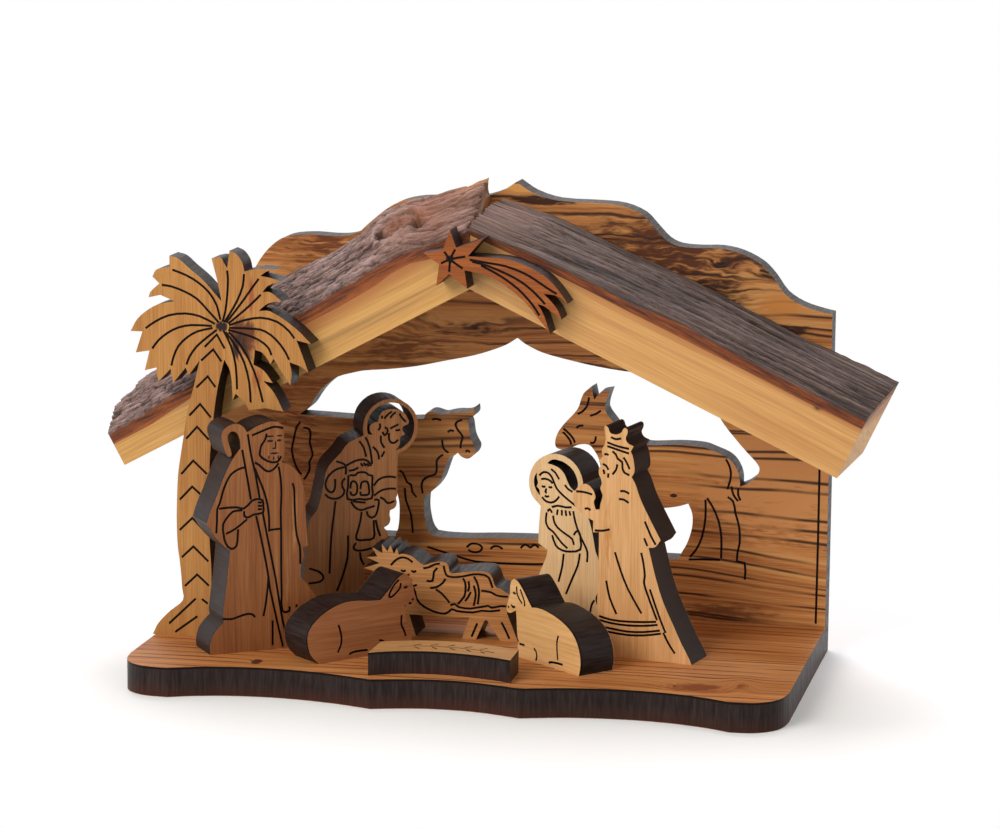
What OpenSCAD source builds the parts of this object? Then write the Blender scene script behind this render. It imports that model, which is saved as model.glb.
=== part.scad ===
// Wooden nativity stable: a fretwork back wall on a scalloped base, two half-round roof slabs with
// their bark on, a palm, a comet and seven glued figures. All lengths are in millimetres, +Z is up,
// the front faces -Y and the origin is the middle of the base's underside.

/* [Stable] */
// Width of the back wall; the base runs on a little past its left end
stable_w = 155; // [120:1:200]
// Depth of the base from front to back
base_d = 76; // [60:1:100]
// Thickness of the base
base_t = 7; // [5:0.5:10]
// Height of the back wall from the underside of the base
wall_h = 113.5; // [90:0.5:140]
// Thickness of the back wall
wall_t = 7; // [5:0.5:10]

/* [Roof] */
// Depth of the roof slabs in front of the back wall
roof_d = 38; // [30:0.5:48]
// Height of the underside at the ridge
ridge_z = 92.3; // [86:0.1:98]
// Length of the left slab along its underside
left_slab_l = 96.3; // [80:0.1:105]
// Length of the right slab along its underside
right_slab_l = 95.9; // [80:0.1:105]
// Height of the left slab with its bark, at the branch stub
left_slab_h = 25.4; // [20:0.1:30]
// Height of the right slab with its bark, at its highest
right_slab_h = 19.2; // [15:0.1:24]
// Opening between the two slabs at the back end of the ridge
ridge_gap = 4; // [0:0.1:7]
// Thickness of the bark
bark_t = 3; // [2:0.1:4.5]
// Slope of the left slab
left_slope = 28.4; // [25:0.1:32]
// Slope of the right slab
right_slope = 25.1; // [22:0.1:29]

/* [Palm and comet] */
// Height of the palm
palm_h = 93.3; // [80:0.1:100]
// Thickness of the palm
palm_t = 7; // [5:0.5:10]
// Width of the comet with its tail
comet_w = 34.2; // [28:0.1:42]
// Thickness of the comet
comet_t = 7; // [4:0.5:9]

/* [Figures] */
// Thickness of the figures
figure_t = 10; // [7:0.5:11]
// Height of the shepherd
shepherd_h = 54.6; // [45:0.1:55]
// Height of the figure with the lantern
lantern_h = 54.7; // [45:0.1:60]
// Height of the king
king_h = 54.7; // [45:0.1:58]
// Height of the mother
mother_h = 45; // [36:0.1:48]
// Height of the manger with the infant
manger_h = 22.1; // [17:0.1:24]
// Height of the left sheep
left_sheep_h = 18.4; // [14:0.1:20]
// Height of the right sheep
right_sheep_h = 18.4; // [14:0.1:20]

/* [Name plate] */
// Width of the plate
plate_w = 35; // [28:0.5:40]
// Height of the plate
plate_h = 5.5; // [4:0.1:7]

/* [Engraving] */
// Width of an engraved line
line_w = 0.55; // [0.3:0.05:0.8]
// Depth of an engraved line
line_d = 0.4; // [0.2:0.05:0.8]

/* [Hidden] */
$fn = 24;
// How far every cutter reaches past the face that it cuts
overrun = 1;
// Pieces that a curve takes between two drawn points, of an outline and of an engraved line
outline_steps = 3;
line_steps = 2;
// The widest that a line's corner gets, as a share of its width
corner_share = 1.5;

wall_y = base_d / 2;
roof_y = wall_y - roof_d;

// Curves through hand-drawn points

// A row is [x, y] or, at a sharp corner, [x, y, 1]. A straight edge runs between two corners.
function flat(r) = [r[0], r[1]];
function ring_row(rows, i) = rows[(i + len(rows)) % len(rows)];
function sharp(r) = len(r) > 2 && r[2] == 1;
function hermite(p, q, m, n, t) =
    p * (2 * pow(t, 3) - 3 * pow(t, 2) + 1) + q * (3 * pow(t, 2) - 2 * pow(t, 3))
    + m * (pow(t, 3) - 2 * pow(t, 2) + t) + n * (pow(t, 3) - pow(t, 2));
function heading(a, b, size) = norm(b - a) == 0 ? [0, 0] : (b - a) / norm(b - a) * size;
function curve(rows, closed, steps) = [
    for (i = [0 : len(rows) - (closed ? 1 : 2)])
        let (a = ring_row(rows, i), b = ring_row(rows, i + 1), p = flat(a), q = flat(b),
             size = norm(q - p),
             sharp_a = sharp(a) || (!closed && i == 0),
             sharp_b = sharp(b) || (!closed && i == len(rows) - 2),
             m = sharp_a ? q - p : heading(flat(ring_row(rows, i - 1)), q, size),
             n = sharp_b ? q - p : heading(p, flat(ring_row(rows, i + 2)), size))
            for (k = [0 : sharp_a && sharp_b ? 0 : steps - 1]) hermite(p, q, m, n, k / steps),
    if (!closed) flat(rows[len(rows) - 1])
];
// Shares turned into lengths: x and y have a unit of their own
function sized(rows, ux, uy) = [for (r = rows) [r[0] * ux, r[1] * uy, r[2]]];
function mirrored(rows) = [for (i = [len(rows) - 1 : -1 : 0]) [-rows[i][0], rows[i][1], rows[i][2]]];
function turned(v) = [-v[1], v[0]];
function side(pts, i) =
    let (n = len(pts), a = heading(pts[max(i - 1, 0)], pts[max(i, 1)], 1),
         b = heading(pts[min(i, n - 2)], pts[min(i + 1, n - 1)], 1), s = a + b)
    turned(s / norm(s)) * min(corner_share, 2 / norm(s));
function stroke(pts, w) = concat(
    [for (i = [0 : len(pts) - 1]) pts[i] + side(pts, i) * w / 2],
    [for (i = [len(pts) - 1 : -1 : 0]) pts[i] - side(pts, i) * w / 2]);

// Boards that stand on edge: their front face is at y = 0 and they reach back to y = t

module standing(t) translate([0, t, 0]) rotate([90, 0, 0]) linear_extrude(t) children();
module outline(rows, ux, uy) polygon(curve(sized(rows, ux, uy), true, outline_steps));
module strokes(lines, ux, uy)
    for (rows = lines) polygon(stroke(curve(sized(rows, ux, uy), false, line_steps), line_w));
module engraving(lines, ux, uy)
    translate([0, -overrun, 0]) standing(line_d + overrun) strokes(lines, ux, uy);
module figure(rows, lines, unit) {
    difference() {
        standing(figure_t) outline(rows, unit, unit);
        engraving(lines, unit, unit);
    }
}
// Puts a figure on the base: shares of the base's width and depth from its middle and front edge
module placed(x_share, y_share, turn_angle)
    translate([x_share * stable_w, y_share * base_d - base_d / 2, base_t])
        rotate([0, 0, turn_angle]) children();

// Base plate

// Squares in the wall's width and in the base's depth
base_grid_shares = [155, 76];
// From the back corner on the right round the front, lobe by lobe, to the back corner on the left
base_right_shares = [[77.5, 76, 1], [77.5, 12, 1], [76.8, 7], [75.2, 3.6], [72, 1], [69, 0.2]];
base_scallop_shares = [[65.5, 0, 1], [60, 2.4], [53, 4.3], [44, 5.3], [36, 5], [28, 3.8], [21.5, 2],
    [17.5, 0.7, 1], [12, 2.4], [6, 3.8]];
base_middle_shares = [[0, 4.2]];
base_left_shares = [[-69.6, 0.2], [-72.6, 1], [-75.8, 3.6], [-77.4, 7], [-78.1, 12, 1], [-78.1, 76, 1]];

module base_plate() {
    color("sandybrown") linear_extrude(base_t) translate([0, -base_d / 2])
        outline(concat(base_right_shares, base_scallop_shares, base_middle_shares,
                       mirrored(base_scallop_shares), base_left_shares),
                stable_w / base_grid_shares[0], base_d / base_grid_shares[1]);
}

// Name plate: its front follows the middle scallop, and a sprig is cut into its top face

plate_grid_share = 35;
plate_shares = [[-18.6, 3.6, 1], [-16.5, 5], [-12, 7], [-6.4, 8.2], [-2.7, 8.4], [2.6, 7.9], [7.2, 6.9],
    [11, 5.9], [14.5, 4.4, 1], [14.3, 14.7, 1], [7, 17.2], [0.2, 18.6], [-8.8, 18.2], [-14, 16.6],
    [-18.3, 14.7, 1]];
plate_line_shares = [
    [[-13.5, 11.4], [-8, 12.8], [-2, 13.2], [4, 12.4], [9.5, 10.6]],
    [[-10.2, 13.1], [-8.6, 14.6]], [[-6.4, 13.8], [-4.8, 15.3]], [[-2.4, 14], [-0.8, 15.5]],
    [[1.8, 13.6], [3.4, 15]], [[5.6, 12.8], [7.2, 14]],
    [[-9.6, 11.6], [-8, 10.2]], [[-5.6, 12.3], [-4, 10.8]], [[-1.4, 12.4], [0.2, 10.9]],
    [[2.6, 11.8], [4, 10.3]], [[6.2, 10.7], [7.4, 9.4]]];

module name_plate() {
    unit = plate_w / plate_grid_share;
    color("peru") translate([0, -base_d / 2, base_t]) difference() {
        linear_extrude(plate_h) outline(plate_shares, unit, unit);
        translate([0, 0, plate_h - line_d]) linear_extrude(line_d + overrun)
            strokes(plate_line_shares, unit, unit);
    }
}

// Back wall

wall_grid_shares = [155, 113.5];
wall_right_shares = [[77.5, 0, 1], [77.5, 84, 1], [75, 84.5], [70, 86], [66, 88.5], [63, 92.5],
    [60, 95.5], [55, 98], [50, 99], [45, 98.9], [40, 99.2], [37, 100.5], [34, 103.5], [31, 106.5],
    [26, 108.5], [20, 109], [10, 109.3], [4, 111]];
wall_peak_shares = [[0, 113.5, 1]];
wall_left_shares = [[-4, 111], [-10, 109.3], [-20, 109], [-24.2, 108.8], [-28.2, 108], [-30.6, 107],
    [-33.4, 105.1], [-35.8, 103.1], [-37.4, 101.7], [-39.4, 99.9], [-42.6, 98.9], [-46.7, 98.7],
    [-51.5, 98.9], [-56.4, 98.5], [-59.4, 97.5], [-62.5, 94.9], [-64.6, 92.2], [-67, 88.5], [-71, 86],
    [-75.5, 84.5], [-77.5, 84, 1], [-77.5, 0, 1]];
wall_shares = concat(wall_right_shares, wall_peak_shares, wall_left_shares);

// The window from the right sill round the arch to the ox, then down to the sill again
window_shares = [
    [56, 41, 1], [55.9, 43], [55.3, 45], [54, 47], [52.3, 48.3], [49, 49.6], [47, 50.3], [44, 50.6],
    [40, 50.6], [36, 50.3], [33, 50.2], [29, 51], [26.5, 53.2], [24.3, 55.8], [22.6, 58.2], [22.6, 60],
    [23.6, 63.2, 1], [21.2, 62.6], [19.8, 60.8, 1], [19.1, 63.8, 1], [17.4, 62.6], [16.6, 61], [16, 59],
    [15, 57.4], [13, 55.2], [11.4, 53.2], [10.5, 51.4], [10.2, 49.7], [10.6, 48.5], [12.5, 48.1],
    [14, 48.5], [16, 49.5], [18.6, 49.6], [20, 48.2], [21, 46.5], [21.5, 44.8], [21.6, 41], [21.2, 37],
    [20.6, 33], [20.2, 29], [20.4, 25.5, 1],
    [6, 25.4], [-5, 25.1], [-12, 24.7], [-18, 24.7], [-20.6, 25, 1], [-21.6, 26.3], [-22.3, 28.6],
    [-22.7, 31.6], [-22.5, 34.8, 1],
    [-20.6, 36.2], [-18.8, 38.5], [-17.8, 41], [-16.9, 43.6], [-16.1, 45.1, 1], [-15, 45.4],
    [-14.2, 46.1, 1], [-13.2, 45.1], [-11.7, 44.7], [-10.6, 45.3], [-9.9, 46.4], [-9.8, 47.5],
    [-10.4, 48.6], [-11.1, 50.2], [-11.4, 52], [-11.6, 53.4], [-12, 54.3, 1], [-10.8, 55],
    [-10.1, 56], [-10.2, 57.5, 1], [-11.4, 56.6], [-12.6, 56.2], [-15, 56.1], [-17, 55.7],
    [-18.4, 55.4], [-20.8, 56], [-22.2, 55.6], [-22.8, 54.2, 1], [-26, 53.9], [-33, 53.6],
    [-41, 53.5], [-48, 53.7], [-54.5, 53.9, 1], [-52, 56], [-50.5, 58.3], [-49, 60.3], [-47, 62.2],
    [-44.6, 63.8], [-41, 64.9], [-38, 65.6], [-32, 66.2], [-25, 67.2], [-17, 69], [-10, 70.6],
    [-5, 72.3], [-2, 73.6], [0.6, 75.3, 1], [2.5, 73.9], [6.9, 71.9], [14.2, 70.2], [20.6, 69],
    [27, 68.2], [32, 67.8], [38, 67], [41, 66.1], [44.6, 64.6], [47, 62.8], [49, 60.6], [51.8, 56.2],
    [54.8, 52.6], [57.6, 49.5], [60, 47], [60.7, 45.4], [59.6, 43.3], [57.6, 41.7]];
donkey_gap_shares = [[30.6, 34.3], [34, 34.6], [37.5, 34.8], [41, 35.4], [43.4, 36.2, 1], [44.4, 33.8],
    [44.5, 31], [44, 28.5], [43.2, 26.2], [42, 24], [41, 22.2, 1], [30.6, 22.2, 1], [29.6, 25],
    [29.2, 28], [29.5, 31.5]];
ox_gap_shares = [[-29.6, 35.6, 1], [-29, 33], [-28.9, 30], [-29.2, 26.6], [-30, 24.2, 1],
    [-44, 24.2, 1], [-45.2, 27], [-45.4, 31], [-44.4, 35.4, 1], [-40, 35.9], [-35, 36]];

wall_line_shares = [
    [[12.2, 53.4], [13.5, 52.3], [14.7, 51], [15.1, 49.9]],
    [[12.1, 52.5], [13.3, 51.3], [14, 50.3], [14.2, 49.4]],
    [[15.4, 53.6], [16.2, 54.2], [17.2, 54.3]],
    [[20.3, 51.8], [20.2, 50.8], [19.7, 50.1], [18.9, 50.1]],
    [[15.7, 57.1], [16.8, 57.7], [17.8, 58.8], [18.3, 60], [18.5, 61.4]],
    [[18.8, 56.8], [20.2, 57.3], [21.5, 58.2]],
    [[52.4, 47.6], [53.2, 46.3], [53.7, 44.5], [53.6, 42.5], [52.9, 40.2]],
    [[53.9, 41], [54.4, 39], [55.6, 37.4]],
    [[55.6, 40.6], [55.6, 39], [56.2, 37.6]],
    [[53, 38.3], [54.4, 37.3], [55, 34.5], [56, 31], [56.2, 27], [55.6, 22.5], [57.5, 22.2], [57.6, 18]],
    [[47.6, 37.4], [47.7, 33], [46.9, 28], [45.5, 24.8], [44, 22.9]],
    [[48, 37.8], [49.5, 35.5], [51, 32], [51.7, 28], [51.7, 23]],
    [[43.7, 22.3], [47, 22.5], [51.5, 22.6]],
    [[-20.8, 54.1], [-19.6, 54.3], [-18.4, 54]],
    [[-16.8, 51.1], [-16, 51.6], [-15.2, 51.4]],
    [[-12.3, 46.4], [-11.7, 46.7], [-11.1, 46.4]],
    [[-18.2, 49.2], [-17.9, 47.2], [-17.2, 46.4], [-16.5, 46]],
    [[-17.9, 45.4], [-18.8, 44.8], [-19.5, 43.8], [-19.5, 42], [-19.8, 40.5], [-21.5, 39.8],
     [-23, 38.7], [-23.3, 37], [-23, 35.4]],
    [[-13.1, 54.3], [-14.3, 53.9], [-14.8, 53], [-14, 51.5], [-13, 50.2], [-13.4, 48.6], [-13.5, 47.2]],
    [[-29, 41], [-28, 40.2], [-27, 38], [-26, 37.5], [-25.7, 35.8], [-24.6, 34.4]],
    [[-27.6, 36.6], [-27.3, 33.5], [-26, 30], [-25.5, 25.3]],
    [[-54.3, 52], [-55.3, 50.5], [-56, 47.5], [-56.5, 45], [-56.2, 43], [-55.1, 40], [-54, 38.7]],
    [[-53.6, 50.6], [-52, 50.2], [-51.7, 48.8], [-51.9, 47], [-51.4, 45], [-51.2, 43.6], [-52, 42],
     [-51.9, 40.4], [-52.5, 38.8], [-53.4, 37.5]],
    [[-11.8, 22.4], [-10.8, 23.3], [-9.2, 23.4], [-7.9, 22.6], [-8.6, 21.5], [-10.4, 21.3], [-11.4, 21.8]],
    [[-5.8, 22.3], [-5, 23], [-3.6, 23], [-2.7, 22.4]],
    [[1.8, 22.9], [3, 23.9], [4.3, 23.2], [5.3, 24], [6.4, 23.2]],
    [[-21.8, 22], [-15, 20.2], [-10, 19], [-5, 18.8], [2, 18.9], [8, 19.2]],
    [[75.2, 8], [75.3, 30], [75.2, 60]],
    [[-75.2, 8], [-75.3, 30], [-75.2, 60]]];

module back_wall() {
    ux = stable_w / wall_grid_shares[0];
    uz = wall_h / wall_grid_shares[1];
    color("burlywood") translate([0, wall_y, 0]) difference() {
        standing(wall_t) difference() {
            outline(wall_shares, ux, uz);
            outline(window_shares, ux, uz);
            outline(donkey_gap_shares, ux, uz);
            outline(ox_gap_shares, ux, uz);
        }
        engraving(wall_line_shares, ux, uz);
    }
}

// Roof slabs: sections along each slab, from the mitre at the ridge to its square end

// Where the mitre stands, as a share of the width from the middle
mitre_share = -0.019;
mitre_x = mitre_share * stable_w;
// Depths across a slab as shares of its depth, from its front face to the wall
depth_shares = [0, 0.065, 0.185, 0.315, 0.5, 0.685, 0.87, 1];

// Stations as shares of a slab's length; the first one is the mitre
left_station_shares = [0, 0.052, 0.104, 0.156, 0.208, 0.26, 0.322, 0.395, 0.52, 0.644, 0.768, 0.893, 1];
right_station_shares = [0, 0.031, 0.125, 0.25, 0.375, 0.521, 0.688, 0.855, 1];
// Squares in each slab's height. Below, the height of the bark: a row for each station, front to back
left_slab_grid_share = 25.4;
left_slab_shares = [
    [12.7, 13.3, 14.2, 16.2, 18.8, 20.2, 20.4, 20.2],
    [14, 14.8, 16.4, 18.2, 20.3, 21.8, 22.8, 22.9],
    [15.3, 16.2, 17.6, 19.2, 21.4, 23, 24.2, 24.2],
    [15.2, 16.2, 17.8, 19.6, 22, 23.2, 25, 25],
    [14.8, 15.9, 17.6, 19.4, 22.2, 25, 25.4, 24.6],
    [14.5, 15.5, 17, 18.6, 21, 22.8, 23.4, 23.2],
    [14, 15, 16.5, 18, 20.2, 21.8, 22.5, 22.5],
    [13.7, 14.7, 16.2, 17.8, 20, 21.6, 22.4, 22.5],
    [12.6, 13.7, 15.4, 17.2, 19.8, 21.6, 22.5, 22.6],
    [11.4, 12.6, 14.3, 16.2, 18.6, 20.2, 21, 21.1],
    [10.3, 11.5, 13.2, 15, 17.1, 18.5, 19.2, 19.4],
    [9.3, 10.4, 12.1, 13.9, 15.6, 16.6, 17.2, 17.6],
    [8.6, 9.7, 11.5, 13.2, 14.1, 14.7, 15.4, 16.2]];
right_slab_grid_share = 19.2;
right_slab_shares = [
    [13.5, 13.9, 14.4, 14.8, 15.3, 15.4, 15.2, 14.9],
    [13.9, 14.4, 15.1, 15.7, 16.5, 16.9, 17, 16.9],
    [14.4, 15, 15.7, 16.3, 17, 17.4, 17.5, 17.3],
    [15, 15.6, 16.3, 16.9, 17.6, 18, 18.1, 17.9],
    [15.3, 15.9, 16.7, 17.3, 18, 18.5, 18.6, 18.4],
    [15.8, 16.4, 17.1, 17.7, 18.4, 18.8, 19, 18.8],
    [15.6, 16.2, 17, 17.6, 18.3, 18.8, 19, 18.8],
    [15.5, 16.1, 16.9, 17.5, 18.2, 18.7, 18.9, 18.7],
    [15.8, 16.3, 17, 17.6, 18.4, 18.9, 19.2, 19.1]];
// The bark's thickness at each station, as shares of its own
left_bark_shares = [1.05, 1.17, 1.17, 1.17, 1.3, 1.3, 1.23, 1.13, 1.13, 1.1, 1.07, 1.17, 0.97];
right_bark_shares = [0.65, 0.65, 0.65, 0.8, 0.9, 1.03, 0.95, 0.93, 0.93];
// How the opening in the ridge widens from the front to the back
ridge_gap_shares = [0, 0, 0, 0.05, 0.3, 0.6, 0.9, 1];
// The right slab's end is sawn a little askew: how much longer it is at the back
right_askew_share = 0.02;

// A point of a slab, s along its underside, n square to it, and y back from its front face
function slab_point(slope, s, n, y) = [s * cos(slope) + n * sin(slope), y, n * cos(slope) - s * sin(slope)];
function slab_stations(left) = left ? left_station_shares : right_station_shares;
function bark_n(left, i, j) = left
    ? left_slab_shares[i][j] * left_slab_h / left_slab_grid_share
    : right_slab_shares[i][j] * right_slab_h / right_slab_grid_share;
function wood_n(left, i, j) = bark_n(left, i, j)
    - bark_t * (left ? left_bark_shares[i] : right_bark_shares[i]);
// The first station lies on the mitre, so its place depends on its height there
function mitre_s(left, n, j) = left
    ? ridge_gap * ridge_gap_shares[j] - n * tan(left_slope)
    : -n * tan(right_slope);
function end_s(left, j) = left ? left_slab_l : right_slab_l * (1 + right_askew_share * depth_shares[j]);
function slab_s(left, i, n, j) = i == 0
    ? mitre_s(left, n, j)
    : i == len(slab_stations(left)) - 1
    ? end_s(left, j)
    : (left ? left_slab_l : right_slab_l) * slab_stations(left)[i];
function slab_row(left, i, level) = [for (j = [0 : len(depth_shares) - 1])
    let (n = level == 0 ? 0 : level == 1 ? wood_n(left, i, j) : bark_n(left, i, j))
        slab_point(left ? left_slope : right_slope, slab_s(left, i, n, j), n, roof_d * depth_shares[j])];

// A closed shell between a lower and an upper sheet of points, each a row of depths at each station
module shell(left, low, high) {
    rows = len(slab_stations(left));
    cols = len(depth_shares);
    points = concat([for (i = [0 : rows - 1]) each slab_row(left, i, low)],
                    [for (i = [0 : rows - 1]) each slab_row(left, i, high)]);
    top = rows * cols;
    function at(i, j) = i * cols + j;
    faces = concat(
        [for (i = [0 : rows - 2]) for (j = [0 : cols - 2]) each [
            [top + at(i, j), top + at(i, j + 1), top + at(i + 1, j + 1)],
            [top + at(i, j), top + at(i + 1, j + 1), top + at(i + 1, j)],
            [at(i, j), at(i + 1, j + 1), at(i, j + 1)],
            [at(i, j), at(i + 1, j), at(i + 1, j + 1)]]],
        [for (i = [0 : rows - 2]) each [
            [at(i, 0), top + at(i, 0), top + at(i + 1, 0)],
            [at(i, 0), top + at(i + 1, 0), at(i + 1, 0)],
            [at(i, cols - 1), top + at(i + 1, cols - 1), top + at(i, cols - 1)],
            [at(i, cols - 1), at(i + 1, cols - 1), top + at(i + 1, cols - 1)]]],
        [for (j = [0 : cols - 2]) each [
            [at(0, j), top + at(0, j + 1), top + at(0, j)],
            [at(0, j), at(0, j + 1), top + at(0, j + 1)],
            [at(rows - 1, j), top + at(rows - 1, j), top + at(rows - 1, j + 1)],
            [at(rows - 1, j), top + at(rows - 1, j + 1), at(rows - 1, j + 1)]]]);
    translate([mitre_x, roof_y, ridge_z]) mirror([left ? 1 : 0, 0, 0]) polyhedron(points, faces);
}
module roof_left_timber() color("burlywood") shell(true, 0, 1);
module roof_left_bark() color("rosybrown") shell(true, 1, 2);
module roof_right_timber() color("burlywood") shell(false, 0, 1);
module roof_right_bark() color("gray") shell(false, 1, 2);

// Palm: it stands on the base against the left slab's front face

// Squares in the palm's height, and where its foot stands as a share of the stable's width
palm_grid_share = 93.3;
palm_x_share = -0.4396;
// Sideways from the middle of the foot and up from the base, leaf by leaf round the crown
palm_outline_shares = [
    [-10.6, 0, 1], [-9.2, 2.8], [-6.2, 6], [-3, 8.8], [-3.2, 11.8], [-3.4, 15], [-3.8, 19], [-4.2, 22],
    [-4.4, 28], [-4.3, 33], [-4, 39], [-3.3, 44], [-2.5, 48.8], [-1.5, 54.8], [0.2, 61.2], [1.5, 66.9, 1],
    [-1.2, 63.2, 1], [-1.6, 64.4], [-1.9, 65.1, 1], [-4.9, 61.4, 1], [-5.4, 63], [-5.6, 64.7, 1],
    [-8.6, 61.5, 1], [-9, 63.2], [-9.1, 64.8, 1], [-12, 64, 1], [-11.4, 66.4], [-10.8, 68.8, 1],
    [-14.2, 68.2, 1], [-13.4, 70.6], [-12.5, 73.3, 1], [-15.4, 73.3, 1], [-13.7, 76.3], [-10.6, 78.9],
    [-8, 80.1], [-4.5, 80.8, 1], [-8, 82.2, 1], [-10.9, 81.5, 1], [-10.4, 82.9], [-8.2, 84.9, 1],
    [-9.9, 86.5, 1], [-8.9, 88.2], [-5.7, 88.9, 1], [-5.7, 91.6, 1], [-3.5, 91], [-1, 88.9], [2.6, 86],
    [7, 81.2, 1], [6, 86], [4.6, 91.3, 1], [6.8, 91.6], [7.6, 90.4], [8.4, 89.1, 1], [9, 93.3, 1],
    [10.7, 92.5], [12.1, 90.6], [12.6, 88.5, 1], [15.8, 89.3, 1], [19.9, 89.2, 1], [18, 88.7],
    [16.5, 87.6, 1], [18.9, 87.2], [21.4, 86.5, 1], [18.4, 85.4], [17, 83.8, 1], [18.9, 83.8],
    [21.6, 81.8, 1], [18.4, 81.2], [16, 79.3, 1], [18.9, 79.3], [25, 75.5], [28.8, 71.9, 1],
    [25.2, 72.7, 1], [26.6, 69.2], [28.1, 65.2, 1], [26.2, 66.5], [23.5, 67.4, 1], [24, 65],
    [23.7, 61.9, 1], [21.9, 64.6], [19.6, 68.1, 1], [18.9, 66.8, 1], [16.9, 69.4], [15.1, 70, 1],
    [14.7, 66.5, 1], [17.2, 65.2], [19.4, 62.3, 1], [17.1, 62.7, 1], [19.5, 60.3], [22, 55.6, 1],
    [17.6, 56.2, 1], [15.8, 55.9], [13.6, 55.5, 1], [12.4, 57.4], [10.3, 59.4, 1], [9.6, 57.7, 1],
    [9.1, 64.4], [7.6, 67.4, 1], [6, 61], [4.8, 53], [4, 45], [3.7, 38], [3.7, 24], [4.1, 17],
    [4.2, 11.5], [5, 8.4], [8, 4.4], [10.5, 0, 1]];
palm_line_shares = [
    [[-5, 88.3], [-1.6, 87.1], [1.3, 85.5], [3.9, 83.3], [5.8, 80.3], [6.7, 76.8]],
    [[-7.6, 84.6], [-5.2, 84.3], [-2, 83.2], [1, 81.6], [3.6, 79], [6.3, 76.2]],
    [[-11.7, 74.1], [-9.3, 75.8], [-6, 77.4], [-2, 78], [1.6, 77.5], [5.4, 75.8]],
    [[-10.1, 69.3], [-8.6, 71.3], [-6.3, 73.2], [-3.6, 74.6], [-0.4, 75.3], [4.6, 75.3]],
    [[-5.4, 65.4], [-4.9, 67.4], [-3.7, 70.1], [-1.4, 72.4], [1.2, 73.9], [4.8, 74.8]],
    [[-1.7, 65.8], [-0.9, 67.8], [0.9, 70.3], [3.5, 72.6], [5.8, 74.4]],
    [[8.4, 88.6], [8.6, 86.5], [8.4, 82.7], [7.9, 78.8], [7.2, 76.4]],
    [[12.5, 87.9], [12.2, 85], [10.8, 81.5], [8.9, 78.2], [7.6, 76.3]],
    [[16.1, 86.9], [14.6, 84.9], [12.4, 81.8], [10.3, 79], [8.1, 76.2]],
    [[16.6, 83.2], [14.7, 81.3], [12.2, 79], [8.6, 76]],
    [[24.7, 73.1], [23.4, 74.8], [20.5, 76.9], [16.6, 77.7], [12.7, 77], [8.8, 75.6]],
    [[23.4, 68], [22.4, 70], [20.2, 72.7], [17.6, 74.5], [15.3, 75], [8.8, 75]],
    [[19.1, 68.9], [18.6, 70.3], [17.2, 71.7], [14.7, 73], [11.4, 73.9], [8.6, 74.5]],
    [[7.5, 74.2], [9.3, 70.6], [10.4, 66], [10.7, 60.4]],
    [[8, 74], [10.4, 70.7], [12.5, 66.8], [13.7, 62], [14, 57.4]],
    [[8.7, 74], [11.3, 71.4], [13.8, 67.3], [15.6, 62.9], [17, 57.6]],
    [[2.8, 70.2], [5.8, 73.3, 1], [7.7, 70]], [[1.9, 66.9], [4.9, 69.7, 1], [6.9, 66.9]],
    [[0.7, 60.4], [3.5, 63.2, 1], [5.4, 60.7]], [[-1.1, 53.6], [1.6, 56.5, 1], [4.2, 53.4]],
    [[-1.9, 48], [0.8, 51, 1], [3.7, 48]], [[-3.2, 39.4], [-0.2, 42.8, 1], [3.2, 39.7]],
    [[-3.6, 33.2], [-0.5, 36.5, 1], [3, 33.5]], [[-3.7, 25.8], [-0.5, 28.9, 1], [3.1, 25.2]],
    [[-3.2, 19.2], [-0.3, 22, 1], [3.4, 18.5]], [[-2.5, 12.2], [0.6, 15.2, 1], [3.5, 12.6]],
    [[0.2, 9.3], [-3.1, 6.1], [-6.5, 2.8]], [[0.6, 5], [-5, 0.8]], [[1.7, 9.3], [3.2, 8.2]]];

module palm_tree() {
    unit = palm_h / palm_grid_share;
    color("tan") translate([palm_x_share * stable_w, roof_y - palm_t, base_t]) difference() {
        standing(palm_t) outline(palm_outline_shares, unit, unit);
        engraving(palm_line_shares, unit, unit);
    }
}

// Comet: glued to the front faces of both slabs, drawn round the middle of its star

comet_grid_share = 34.2;
comet_x_share = -0.0394;
// Height of the star's middle over the ridge's underside, as a share of the comet's width
comet_z_share = 0.231;
comet_outline_shares = [
    [-0.1, 6.8, 1], [1.4, 2.7, 1], [7.7, 4.9, 1], [4.2, 0.8, 1], [8.9, 0.7], [11.7, 0.6], [14.5, 0.2],
    [17.3, -0.7], [20.1, -1.9], [22.9, -3.6], [25.4, -6.1], [27.8, -9.4, 1], [26.5, -8.3],
    [24.6, -7.5], [22.1, -7.3, 1], [23.8, -8.9], [25.4, -10.8], [26.4, -13.1, 1], [23.5, -11],
    [22.1, -10.1], [20.7, -9.7, 1], [21.7, -11.2], [22.6, -13.2], [23.7, -16.6, 1], [22.6, -15],
    [21, -13.2], [18.8, -10.5], [16, -7.9], [13.2, -5.8], [10.4, -4.2], [7.6, -3.2], [3.4, -2.5, 1],
    [4.1, -6.8, 1], [-0.2, -3.5, 1], [-3.3, -6.4, 1], [-2.6, -1.3, 1], [-6.4, 1.2, 1], [-1.7, 2.1, 1]];
comet_line_shares = [
    [[1.2, 2.3], [0.1, 0.1], [-0.2, -3]], [[3.6, 0.7], [0.2, 0], [-2.2, -1.1]],
    [[3, -2.1], [0, -0.1], [-1.4, 1.7]],
    [[4.6, 0], [9, -0.6], [13.1, -1.2], [17.3, -2.6], [20.1, -4.1], [22.9, -5.9], [25.2, -7.2]],
    [[5.2, -0.4], [9, -1.3], [13.4, -3], [16.8, -4.7], [19.4, -6.6], [21.3, -8.4], [22.5, -9.7]],
    [[7.3, -1.2], [10.4, -2.7], [13.2, -4.3], [16, -6.3], [17.9, -8.1], [19.6, -10], [21.2, -12.4]]];

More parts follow.
